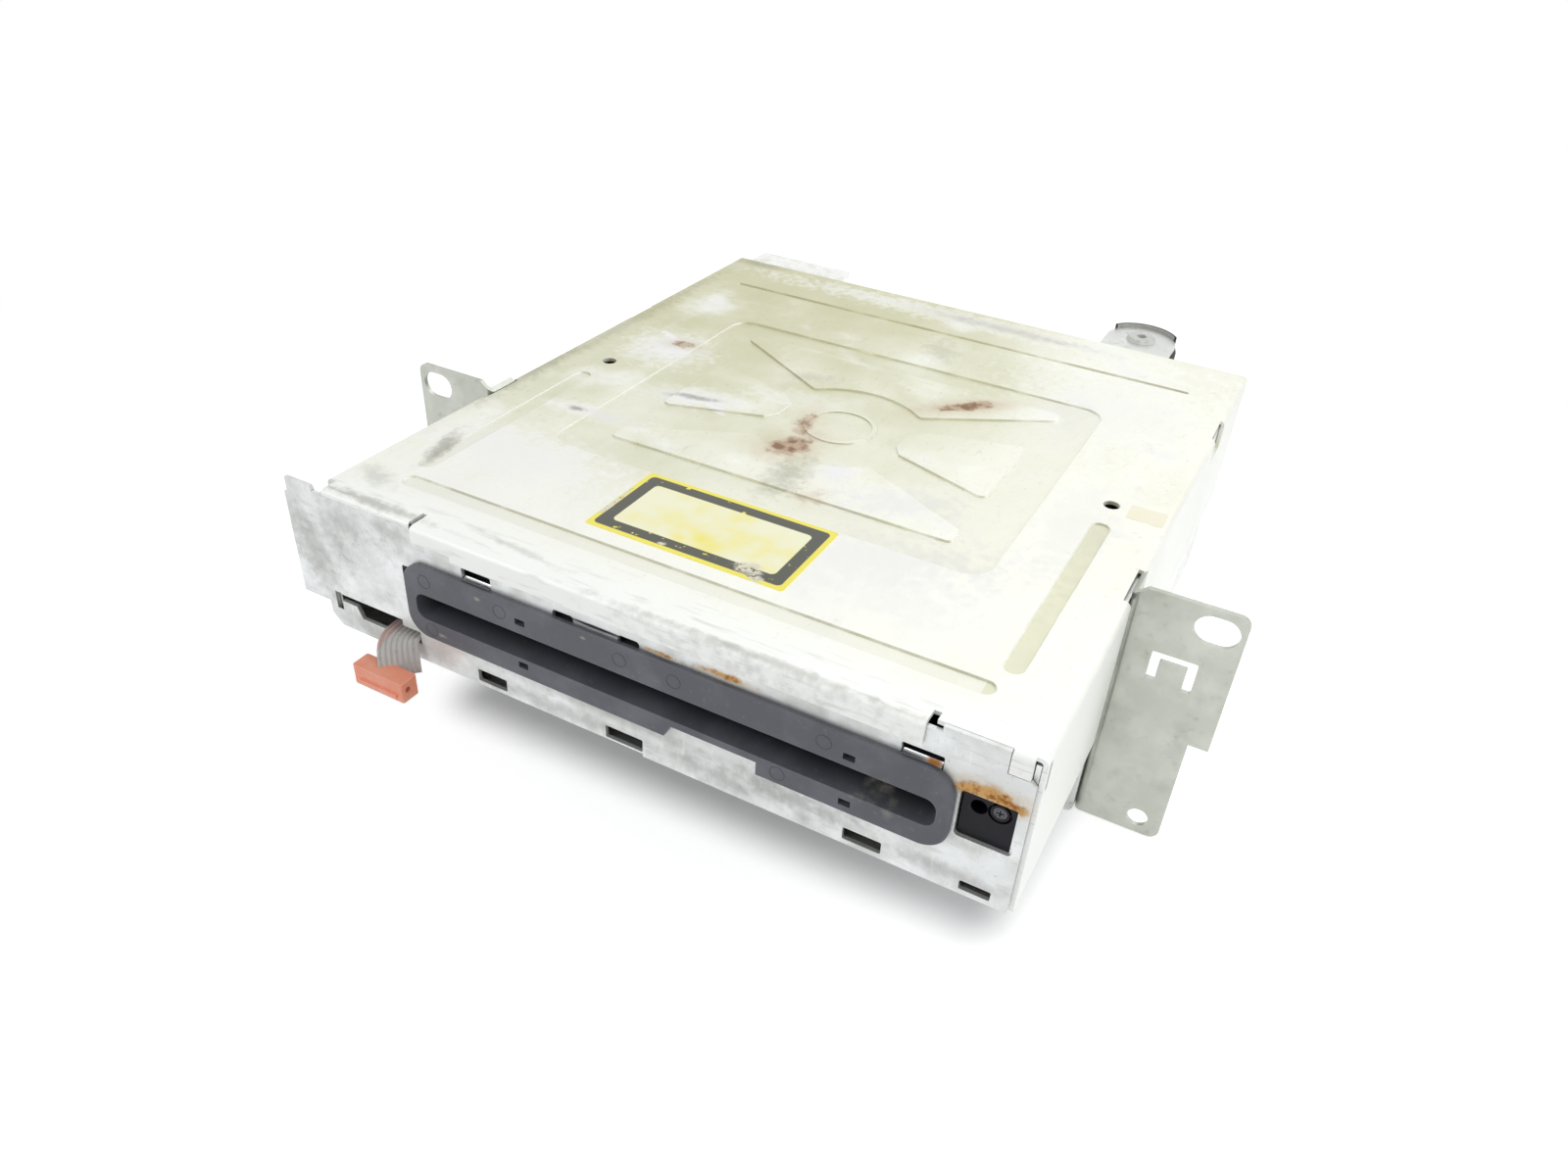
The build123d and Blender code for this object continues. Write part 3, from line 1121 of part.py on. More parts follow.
ARM_LEFT = LOAD_IN0 + 1.0 - DISC_X
ARM_RIGHT = LOAD_IN1 - 1.0 - DISC_X
NECK_R = 4.0
with BuildPart() as clamp_arm:
    with BuildSketch(arm_level(0)) as blade:
        Polygon(
            (ARM_LEFT, -2.6),
            (ARM_LEFT, -CLAMP_TAIL_Y - 4.0),
            (ARM_LEFT + 18.0, -CLAMP_TAIL_Y - 4.0),
            (-13.0, -REACH),
            (13.0, -REACH),
            (ARM_RIGHT - 18.0, -CLAMP_TAIL_Y - 4.0),
            (ARM_RIGHT, -CLAMP_TAIL_Y - 4.0),
            (ARM_RIGHT, -2.6),
            align=None,
        )
        with Locations((0, -REACH)):
            Circle(13.0)
            Circle(NECK_R + 0.5, mode=Mode.SUBTRACT)
        Polygon((-26, -12), (26, -12), (16, -26), (-16, -26), align=None, mode=Mode.SUBTRACT)
    extrude(blade.sketch, amount=SHEET)
    for x, low in ((ARM_LEFT + DISC_X, CLAMP_TAIL_Z + 2.4), (ARM_RIGHT + DISC_X - SHEET, 3.0)):
        with BuildSketch(arm_side(x)) as flange:
            Circle(3.2)
            with Locations((-CLAMP_TAIL_Y, -low / 2 + SHEET / 2)):
                RectangleRounded(5.2, low + SHEET, 0.5)
            make_hull()
        extrude(flange.sketch, amount=SHEET)
    with BuildSketch(arm_side(ARM_LEFT + DISC_X - 1)) as bore:
        Circle(PIN_R + PIN_RUN)
    extrude(bore.sketch, amount=ARM_RIGHT - ARM_LEFT + 3, mode=Mode.SUBTRACT)
    rod(
        arm_side(ARM_LEFT + DISC_X + SHEET),
        (-CLAMP_TAIL_Y, -CLAMP_TAIL_Z),
        CAM_PIN_R,
        LOAD_X0 - SLIDER_GAP - SLIDER_T - 0.2 - ARM_LEFT - DISC_X - SHEET,
    )
finish(clamp_arm, "clamp_arm", ZINC)

with BuildPart() as clamper:
    with BuildSketch(arm_side(DISC_X)) as half_section:
        with BuildLine() as profile:
            Polyline(
                (-REACH, 2.6),
                (-REACH, -CLAMPER_DROP + 2.4),
                (-REACH + 8.2, -CLAMPER_DROP + 2.4),
                (-REACH + 9.0, -CLAMPER_DROP),
                (-REACH + CLAMPER_R - 1.0, -CLAMPER_DROP),
                (-REACH + CLAMPER_R, -CLAMPER_DROP + 1.0),
                (-REACH + CLAMPER_R, -CLAMPER_DROP + 2.6),
                (-REACH + 10.0, -CLAMPER_DROP + 4.0),
                (-REACH + 6.0, -0.4),
                (-REACH + NECK_R, -0.4),
                (-REACH + NECK_R, 1.4),
                (-REACH + 6.0, 1.4),
                (-REACH + 6.0, 2.0),
                (-REACH + 5.4, 2.6),
                close=True,
            )
        make_face(profile.edges())
    centre = arm_level(0).from_local_coords(Vector(0, -REACH, 0))
    revolve(half_section.sketch, Axis(centre, arm_level(0).z_dir))
finish(clamper, "clamper", BLACK)

with BuildPart() as clamp_spring:
    with BuildSketch(arm_side(DISC_X - 4.0)) as strip:
        with BuildLine() as profile:
            FilletPolyline(
                (-REACH + 30.0, SHEET),
                (-REACH + 18.0, SHEET),
                (-REACH + 12.0, 2.9),
                (-REACH - 3.0, 2.9),
                radius=2.0,
            )
            Line((-REACH - 3.0, 2.9), (-REACH - 3.0, 3.3))
            FilletPolyline(
                (-REACH - 3.0, 3.3),
                (-REACH + 11.8, 3.3),
                (-REACH + 17.8, SHEET + 0.4),
                (-REACH + 30.0, SHEET + 0.4),
                radius=2.0,
            )
            Line((-REACH + 30.0, SHEET + 0.4), (-REACH + 30.0, SHEET))
        make_face(profile.edges())
    extrude(strip.sketch, amount=8.0)
finish(clamp_spring, "clamp_spring", BRASS)

# Spindle motor and turntable
with BuildPart() as spindle_motor:
    rod(level(PLATE_Z - 6.5), (DISC_X, DISC_Y), 11.0, 6.5)
    fillet(spindle_motor.edges().sort_by(Axis.Z)[0], 0.8)
    rod(level(PLATE_Z), (DISC_X, DISC_Y), 6.0, 2.4)
    rod(level(PLATE_Z - 5.0), (DISC_X, DISC_Y), 1.0 + PIN_RUN, 10.0, Mode.SUBTRACT)
finish(spindle_motor, "spindle_motor", ZINC)

with BuildPart() as turntable:
    with BuildSketch(facing(DISC_Y)) as half_section:
        with BuildLine() as profile:
            Polyline(
                (DISC_X, PLATE_Z - 4.5),
                (DISC_X + 1.0, PLATE_Z - 4.5),
                (DISC_X + 1.0, DISC_Z - 4.6),
                (DISC_X + 4.5, DISC_Z - 4.6),
                (DISC_X + 4.5, DISC_Z - 2.4),
                (DISC_X + TABLE_R, DISC_Z - 2.4),
                (DISC_X + TABLE_R, DISC_Z),
                (DISC_X + 7.6, DISC_Z),
                (DISC_X + 7.2, DISC_Z + 1.0),
                (DISC_X + 5.6, DISC_Z + 2.0),
                (DISC_X, DISC_Z + 2.0),
                close=True,
            )
        make_face(profile.edges())
    revolve(half_section.sketch, Axis((DISC_X, DISC_Y, 0), (0, 0, 1)))
finish(turntable, "turntable", BLACK)

# Pickup: sled on two rods, moved by a lead screw on its motor's shaft
SLED_IN = DISC_X - 11.0 - 3.4
SLED_OUT = LENS_X - 9.0
SLED_Z = (ROD_Z - 4.4, PLATE_Z - 0.6)
with BuildPart() as pickup_sled:
    bar((SLED_OUT, SLED_IN), (DISC_Y - 18.0, DISC_Y + 18.0), SLED_Z)
    fillet(pickup_sled.edges().filter_by(Axis.Z), 1.5)
    for sign in (-1, 1):
        span = sorted((DISC_Y + sign * 17.0, DISC_Y + sign * (ROD_GAP + 3.2)))
        bar((SLED_OUT + 1.0, SLED_IN - 1.5), span, (ROD_Z - 3.0, SLED_Z[1]))
    bar((LENS_X - 5.0, LENS_X + 5.0), (DISC_Y + 17.0, SCREW_Y + 2.4), (SLED_Z[0], ROD_Z - 2.3))
    turret = (LENS_X - LENS_R - 1, LENS_X + LENS_R + 1)
    bar(turret, (DISC_Y - 6.6, DISC_Y + 6.6), (SLED_Z[1] - 1, SLED_Z[1] + 2.6))
    with BuildSketch(side(SLED_OUT - 1)) as bores:
        with Locations((DISC_Y - ROD_GAP, ROD_Z), (DISC_Y + ROD_GAP, ROD_Z)):
            Circle(PIN_R + PIN_RUN)
        window((DISC_Y - ROD_GAP - 5.0, DISC_Y - ROD_GAP), (ROD_Z - 1.55, ROD_Z + 1.55), 0.1)
    extrude(bores.sketch, amount=SLED_IN - SLED_OUT + 2, mode=Mode.SUBTRACT)
finish(pickup_sled, "pickup_sled", BLACK)

with BuildPart() as pickup_lens:
    with BuildSketch(facing(DISC_Y)) as half_section:
        with BuildLine() as profile:
            Polyline(
                (LENS_X, SLED_Z[1] + 3.4),
                (LENS_X + LENS_R, SLED_Z[1] + 3.4),
                (LENS_X + LENS_R, SLED_Z[1] + 5.0),
                (LENS_X + 3.6, SLED_Z[1] + 5.4),
                (LENS_X + 2.4, SLED_Z[1] + 5.0),
                (LENS_X + 1.3, SLED_Z[1] + 5.5),
                (LENS_X, SLED_Z[1] + 5.7),
                close=True,
            )
        make_face(profile.edges())
    revolve(half_section.sketch, Axis((LENS_X, DISC_Y, 0), (0, 0, 1)))
finish(pickup_lens, "pickup_lens", GREY)

with BuildPart() as guide_rods:
    for y in (DISC_Y - ROD_GAP, DISC_Y + ROD_GAP):
        rod(side(ROD_X0 - SHEET - 0.4), (y, ROD_Z), PIN_R, ROD_X1 - ROD_X0 + SHEET + 0.8)
finish(guide_rods, "guide_rods", ZINC)

with BuildPart() as lead_screw:
    rod(side(ROD_X0 + 0.3), (SCREW_Y, ROD_Z), 1.9, ROD_X1 - ROD_X0 - SHEET - 0.9)
    rod(side(ROD_X0 - SHEET - 0.3), (SCREW_Y, ROD_Z), 1.0, ROD_X1 - ROD_X0 + SHEET + 5.0)
finish(lead_screw, "lead_screw", ZINC)

with BuildPart() as sled_motor:
    with BuildSketch(side(ROD_X1)) as can:
        with Locations((SCREW_Y, ROD_Z)):
            RectangleRounded(7.4, 7.6, 1.6)
    extrude(can.sketch, amount=14.0)
    rod(side(ROD_X1 - 0.01), (SCREW_Y, ROD_Z), 1.0 + PIN_RUN, 6.0, Mode.SUBTRACT)
finish(sled_motor, "sled_motor", ZINC)

# Mode slider: cam slots lower the roller and the clamp together
CAM_HALF = CAM_PIN_R + 0.35
SLIDER_X = LOAD_X0 - SLIDER_GAP - SLIDER_T


def cam_slot(start, end):
    """Sketch a slanted slot between a pin's places at both ends of the slide."""
    SlotCenterToCenter(
        sqrt((end[0] - start[0]) ** 2 + (end[1] - start[1]) ** 2),
        2 * CAM_HALF,
        rotation=degrees(atan2(end[1] - start[1], end[0] - start[0])),
        mode=Mode.SUBTRACT,
    )


tail_y, tail_z = turned(TAIL, 0, ROLLER_DROP)
TAIL_LOW = (PIVOT_Y + tail_y, PIVOT_Z + tail_z)
with BuildPart() as mode_slider:
    with BuildSketch(side(SLIDER_X)) as sheet:
        Polygon(
            (-29.0, 32.4),
            (-7.0, 32.4),
            (-3.0, 35.0),
            (62.0, 35.0),
            (70.0, 42.0),
            (86.0, 42.0),
            (86.0, 51.6),
            (62.0, 51.6),
            (54.0, 43.0),
            (-25.0, 43.0),
            (-29.0, 40.0),
            align=None,
        )
        fillet(sheet.vertices(), 1.2)
        for start, end in ((TAIL_POINT, TAIL_LOW), (CLAMP_PIN, CLAMP_PIN_SHUT)):
            last = (end[0] - SLIDER_TRAVEL, end[1])
            with Locations(((start[0] + last[0]) / 2, (start[1] + last[1]) / 2)):
                cam_slot(last, start)
        for y, z in RIVETS:
            with Locations((y - SLIDER_TRAVEL / 2, z)):
                SlotCenterToCenter(SLIDER_TRAVEL, 2 * PIN_R + 0.6, mode=Mode.SUBTRACT)
    extrude(sheet.sketch, amount=SLIDER_T)
finish(mode_slider, "mode_slider", ZINC)

with BuildPart() as slider_rivets:
    for y, z in RIVETS:
        rod(side(LOAD_IN0), (y, z), PIN_R, SLIDER_X - 0.3 - LOAD_IN0)
        rod(side(SLIDER_X - 0.3), (y, z), 2.6, -1.0)
finish(slider_rivets, "slider_rivets", ZINC)

# Dampers between the loader and shelves on the chassis walls
with BuildPart() as loader_shelves:
    for x, y in DAMPERS:
        sign = 1 if x > 0 else -1
        with BuildSketch(facing(y - 8.0)) as fold:
            Polygon(
                (sign * WALL_IN, SHELF_Z),
                (x - sign * 6.0, SHELF_Z),
                (x - sign * 6.0, SHELF_Z + SHEET),
                (sign * (WALL_IN - SHEET), SHELF_Z + SHEET),
                (sign * (WALL_IN - SHEET), SHELF_Z + 12.0),
                (sign * WALL_IN, SHELF_Z + 12.0),
                align=None,
            )
        extrude(fold.sketch, amount=-16.0)
        rod(level(SHELF_Z - 1), (x, y), PIN_R, 3.0, Mode.SUBTRACT)
finish(loader_shelves, "loader_shelves", ZINC)

with BuildPart() as dampers:
    for x, y in DAMPERS:
        rod(level(SHELF_Z + SHEET), (x, y), 5.0, PLATE_Z - SHELF_Z - SHEET)
        rod(level(PLATE_Z), (x, y), DAMPER_HOLE, SHEET)
        rod(level(PLATE_Z + SHEET), (x, y), 4.8, 2.6)
        rod(level(SHELF_Z), (x, y), PIN_R, 12.0, Mode.SUBTRACT)
finish(dampers, "dampers", RUBBER)

with BuildPart() as damper_pins:
    for x, y in DAMPERS:
        rod(level(SHELF_Z), (x, y), PIN_R, PLATE_Z + SHEET + 2.6 - SHELF_Z)
        rod(level(PLATE_Z + SHEET + 2.6), (x, y), 3.4, 1.2)
finish(damper_pins, "damper_pins", ZINC)
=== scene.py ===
"""Looks, small pieces, light and camera for a slot-loading car disc deck.

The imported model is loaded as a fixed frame. Sizes below are in millimetres in that frame,
with +X to the right, +Y to the rear and +Z up, unless a name says otherwise.
"""

import logging
import math
from dataclasses import dataclass
from enum import Enum

import bmesh
import bpy
from mathutils import Matrix, Vector


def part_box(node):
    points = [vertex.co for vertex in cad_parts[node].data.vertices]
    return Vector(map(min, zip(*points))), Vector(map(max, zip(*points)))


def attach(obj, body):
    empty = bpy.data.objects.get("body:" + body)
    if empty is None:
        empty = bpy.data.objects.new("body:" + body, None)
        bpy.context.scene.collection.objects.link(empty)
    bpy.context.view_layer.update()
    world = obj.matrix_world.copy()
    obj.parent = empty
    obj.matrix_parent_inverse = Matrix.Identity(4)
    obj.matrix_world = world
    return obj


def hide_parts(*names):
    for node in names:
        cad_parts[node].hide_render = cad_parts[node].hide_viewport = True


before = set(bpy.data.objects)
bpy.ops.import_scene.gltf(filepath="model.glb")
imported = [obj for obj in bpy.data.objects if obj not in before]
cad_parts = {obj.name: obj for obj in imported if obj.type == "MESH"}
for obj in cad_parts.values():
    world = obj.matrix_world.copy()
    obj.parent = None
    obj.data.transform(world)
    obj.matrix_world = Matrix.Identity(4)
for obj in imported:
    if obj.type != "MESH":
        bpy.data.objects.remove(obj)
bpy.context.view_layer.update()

log = logging.getLogger("disc_deck")
Socket = bpy.types.NodeSocket
Material = bpy.types.Material
Pair = tuple[float, float]
Triple = tuple[float, float, float]
MM = 0.001
WHITE = (1.0, 1.0, 1.0, 1.0)
# Points closer than this, in metres, are made one
WELD = 1e-6
# From one way of the ribbon lead to the next
WAY_PITCH = 1.27


class Face(Enum):
    """The plane in which a mark lies."""

    TOP = "top"
    FRONT = "front"


def linear(code: str) -> tuple[float, float, float, float]:
    """Turn an sRGB hex code, red first, into linear colour with an alpha of 1."""
    values = [int(code[i : i + 2], 16) / 255 for i in (0, 2, 4)]
    return (*[v / 12.92 if v <= 0.04045 else ((v + 0.055) / 1.055) ** 2.4 for v in values], 1.0)


def add_node(
    tree: bpy.types.NodeTree, kind: str, inputs: dict | None = None, **settings: object
) -> bpy.types.Node:
    """Add a node with its settings, and set or link its inputs.

    Args:
        tree: the material's node tree.
        kind: the node's type name.
        inputs: a value or an output socket for each input, by name or number.
        settings: the node's own properties.

    Returns:
        The new node.
    """
    node = tree.nodes.new(kind)
    for key, value in settings.items():
        setattr(node, key, value)
    for key, value in (inputs or {}).items():
        if isinstance(value, Socket):
            tree.links.new(value, node.inputs[key])
        else:
            node.inputs[key].default_value = value
    return node


def put(name: str, data: bpy.types.ID) -> bpy.types.Object:
    """Make an object of some data, link it to the scene and return it."""
    thing = bpy.data.objects.new(name, data)
    bpy.context.scene.collection.objects.link(thing)
    return thing


@dataclass(frozen=True)
class Stain:
    """One mark: where its middle is, how far it reaches, and how ragged its edge is."""

    u: float
    v: float
    long: float
    wide: float
    turn: float = 0.0
    ragged: float = 0.9
    strength: float = 1.0


Marks = tuple[Stain, ...]


def placed(*rows: tuple[float, ...]) -> Marks:
    """Turn rows of a mark's numbers, in its own order, into marks."""
    return tuple(Stain(*row) for row in rows)


class Layers:
    """A material being built up, from a bare ground through layers laid over it by masks."""

    # The share of a mark's reach that it covers in full
    CORE = 0.35
    # How coarsely the edges of marks are torn, in millimetres
    TEAR = 2.2
    # How strong each finer octave of noise is beside the one before
    OCTAVE = 0.55

    def __init__(self, name: str, colour: str, metallic: float, roughness: float) -> None:
        """Start from a ground.

        Args:
            name: the material's name, for the real material.
            colour: the ground's sRGB hex code.
            metallic: 1 for bare metal, 0 for anything else.
            roughness: the ground's roughness.
        """
        self.material = bpy.data.materials.new(name)
        self.material.use_nodes = True
        self.tree = self.material.node_tree
        self.shader = self.tree.nodes["Principled BSDF"]
        self.place = add_node(self.tree, "ShaderNodeTexCoord").outputs["Object"]
        self.colour: object = linear(colour)
        self.metallic: object = metallic
        self.roughness: object = roughness
        self.height: object = None
        self.ragged = self.grain(self.TEAR, detail=4)

    def grain(
        self,
        size: float,
        low: float = 0.0,
        high: float = 1.0,
        detail: float = 2.0,
        stretch: Triple = (1.0, 1.0, 1.0),
        shift: float = 0.0,
    ) -> Socket:
        """Make a cloudy mask whose clouds are size millimetres across.

        Args:
            size: the clouds' size.
            low: the noise value that gives 0.
            high: the noise value that gives 1.
            detail: octaves of finer noise.
            stretch: how much longer the clouds are along each axis.
            shift: an offset in metres, for another pattern of the same kind.

        Returns:
            The mask, from 0 to 1.
        """
        point = add_node(
            self.tree,
            "ShaderNodeMapping",
            {"Vector": self.place, "Location": (shift,) * 3, "Scale": [1 / s for s in stretch]},
        )
        clouds = {"Scale": 1 / (size * MM), "Detail": detail, "Roughness": self.OCTAVE}
        noise = add_node(self.tree, "ShaderNodeTexNoise", {"Vector": point.outputs[0], **clouds})
        return self.between(noise.outputs["Fac"], low, high)

    def between(self, value: Socket, low: float, high: float) -> Socket:
        """Ease a value from 0 at low to 1 at high, where low may be the larger.

        Args:
            value: the socket to map.
            low: the value that gives 0.
            high: the value that gives 1.

        Returns:
            The mask, from 0 to 1.
        """
        if low < high:
            limits = {"From Min": low, "From Max": high, "To Min": 0.0, "To Max": 1.0}
        else:
            limits = {"From Min": high, "From Max": low, "To Min": 1.0, "To Max": 0.0}
        node = add_node(
            self.tree,
            "ShaderNodeMapRange",
            {"Value": value, **limits},
            interpolation_type="SMOOTHSTEP",
        )
        return node.outputs["Result"]

    def combine(self, operation: str, first: object, second: object) -> Socket:
        """Combine two masks or numbers into one, by an operation such as MAXIMUM."""
        inputs = {0: first, 1: second}
        return add_node(self.tree, "ShaderNodeMath", inputs, operation=operation).outputs[0]

    def times(self, first: object, *others: object) -> Socket:
        """Multiply masks or numbers, so that only what they all show is left."""
        for other in others:
            first = self.combine("MULTIPLY", first, other)
        return first

    def region(self, across: Pair, back: Pair) -> Socket:
        """Mask a region that fades in along X and along Y, each between two places in metres."""
        return self.times(self.between(self.along(0), *across), self.between(self.along(1), *back))

    def along(self, axis: int) -> Socket:
        """Return the place along one axis, in metres: 0 for X, 1 for Y and 2 for Z."""
        return add_node(self.tree, "ShaderNodeSeparateXYZ", {0: self.place}).outputs[axis]

    def apart(self, axis: int, middle: float) -> Socket:
        """Return how far from a middle in millimetres a point is along one axis, in metres."""
        away = self.combine("SUBTRACT", self.along(axis), middle * MM)
        return self.combine("ABSOLUTE", away, 0.0)

    def distance(self, point: Socket, other: Triple = (0.0, 0.0, 0.0)) -> Socket:
        """Return how far a point lies from another, or from the origin, in metres."""
        ends = {0: point, 1: other}
        node = add_node(self.tree, "ShaderNodeVectorMath", ends, operation="DISTANCE")
        return node.outputs["Value"]

    def beyond(self, spans: tuple[Pair, ...]) -> Socket:
        """Measure how far a point lies outside a rectangle in X and Y.

        Args:
            spans: the rectangle's middle and half size in millimetres, for X and for Y.

        Returns:
            The distance in metres, 0 inside.
        """
        sides = {}
        for axis, (middle, half) in enumerate(spans):
            over = self.combine("SUBTRACT", self.apart(axis, middle), half * MM)
            sides[axis] = self.combine("MAXIMUM", over, 0.0)
        return self.distance(add_node(self.tree, "ShaderNodeCombineXYZ", sides).outputs[0])

    def band(self, axis: int, low: float, high: float, soft: float = 0.1) -> Socket:
        """Mask a band between two limits along one axis, all in millimetres.

        Args:
            axis: 0 for X, 1 for Y and 2 for Z.
            low: where the band starts.
            high: where it ends.
            soft: how wide its edges are.

        Returns:
            The mask, from 0 to 1.
        """
        away = self.apart(axis, (low + high) / 2)
        half = (high - low) / 2
        return self.between(away, (half + soft / 2) * MM, (half - soft / 2) * MM)

    def slopes(self, axis: int, low: float, high: float) -> Socket:
        """Mask the faces whose normal leans off an axis, such as the walls of a pressed groove.

        Args:
            axis: the axis the flat faces look along.
            low: the normal's share along it that gives 0.
            high: the share that gives 1.

        Returns:
            The mask, from 0 to 1.
        """
        normal = add_node(self.tree, "ShaderNodeNewGeometry").outputs["True Normal"]
        share = add_node(self.tree, "ShaderNodeSeparateXYZ", {0: normal}).outputs[axis]
        return self.between(self.combine("ABSOLUTE", share, 0.0), low, high)

    def edges(self, radius: float, low: float, high: float) -> Socket:
        """Mask the strip along each sharp edge.

        Args:
            radius: how far the strip reaches, in millimetres.
            low: the share of turn that gives 0.
            high: the share of turn that gives 1.

        Returns:
            The mask, from 0 to 1.
        """
        reach = {"Radius": radius * MM}
        rounded = add_node(self.tree, "ShaderNodeBevel", reach, samples=4).outputs[0]
        flat = add_node(self.tree, "ShaderNodeNewGeometry").outputs["True Normal"]
        pair = {0: rounded, 1: flat}
        same = add_node(self.tree, "ShaderNodeVectorMath", pair, operation="DOT_PRODUCT")
        return self.between(same.outputs["Value"], 1.0 - low, 1.0 - high)

    def stains(self, marks: Marks, face: Face, soft: float = 0.0) -> Socket:
        """Mask a set of ragged round or long marks.

        Args:
            marks: the marks.
            face: the plane they lie in.
            soft: how far their edges fade, as a share of their reach.

        Returns:
            The mask, from 0 to 1.
        """
        mask: object = 0.0
        # Along the face's own normal a mark has no end
        endless = 1e6
        for mark in marks:
            turn = math.radians(mark.turn)
            if face is Face.TOP:
                where, angle = (mark.u, mark.v, 0.0), (0, 0, turn)
                size = (mark.long, mark.wide, endless)
            else:
                where, angle = (mark.u, 0.0, mark.v), (0, -turn, 0)
                size = (mark.long, endless, mark.wide)
            spot = add_node(
                self.tree,
                "ShaderNodeMapping",
                {
                    "Vector": self.place,
                    "Location": tuple(w * MM for w in where),
                    "Rotation": angle,
                    "Scale": tuple(s * MM for s in size),
                },
                vector_type="TEXTURE",
            )
            reach = self.distance(spot.outputs[0])
            # The noise is a half on average, which moves the limits below by mark.ragged
            torn = add_node(
                self.tree,
                "ShaderNodeMath",
                {0: self.ragged, 1: mark.ragged * 2.0, 2: reach},
                operation="MULTIPLY_ADD",
            ).outputs[0]
            rim, core = 1.0 + soft + mark.ragged, self.CORE - soft / 2 + mark.ragged
            inside = self.between(torn, rim, core)
            mask = self.combine("MAXIMUM", mask, self.times(inside, mark.strength))
        return mask

    def lay(
        self,
        mask: Socket,
        colour: str | None = None,
        metallic: float | None = None,
        roughness: float | None = None,
        share: float = 1.0,
    ) -> None:
        """Lay a finish over what is there, where a mask shows it.

        Args:
            mask: where the layer lies.
            colour: its sRGB hex code, or nothing to leave the colour.
            metallic: its metal share, or nothing to leave it.
            roughness: its roughness, or nothing to leave it.
            share: how much of the layer shows at the mask's full value.
        """
        factor = mask if share == 1.0 else self.times(mask, share)
        if colour is not None:
            colours = {0: factor, 6: self.colour, 7: linear(colour)}
            self.colour = add_node(self.tree, "ShaderNodeMix", colours, data_type="RGBA").outputs[2]
        for key, value in (("metallic", metallic), ("roughness", roughness)):
            if value is not None:
                values = {0: factor, 2: getattr(self, key), 3: value}
                setattr(self, key, add_node(self.tree, "ShaderNodeMix", values).outputs[0])

    def raise_by(self, mask: Socket, height: float) -> None:
        """Add a relief of height millimetres where a mask is 1."""
        part = self.times(mask, height * MM)
        self.height = part if self.height is None else self.combine("ADD", self.height, part)

    def done(self, **shader: object) -> Material:
        """Link the layers to the shader.

        Args:
            shader: values that are the same all over, by input name with _ for a space.

        Returns:
            The finished material.
        """
        for key, value in (
            ("Base Color", self.colour),
            ("Metallic", self.metallic),
            ("Roughness", self.roughness),
        ):
            if isinstance(value, Socket):
                self.tree.links.new(value, self.shader.inputs[key])
            else:
                self.shader.inputs[key].default_value = value
        if self.height is not None:
            relief = {"Height": self.height, "Distance": 1.0, "Strength": 1.0}
            bump = add_node(self.tree, "ShaderNodeBump", relief)
            self.tree.links.new(bump.outputs[0], self.shader.inputs["Normal"])
        for key, value in shader.items():
            self.shader.inputs[key.replace("_", " ")].default_value = value
        return self.material


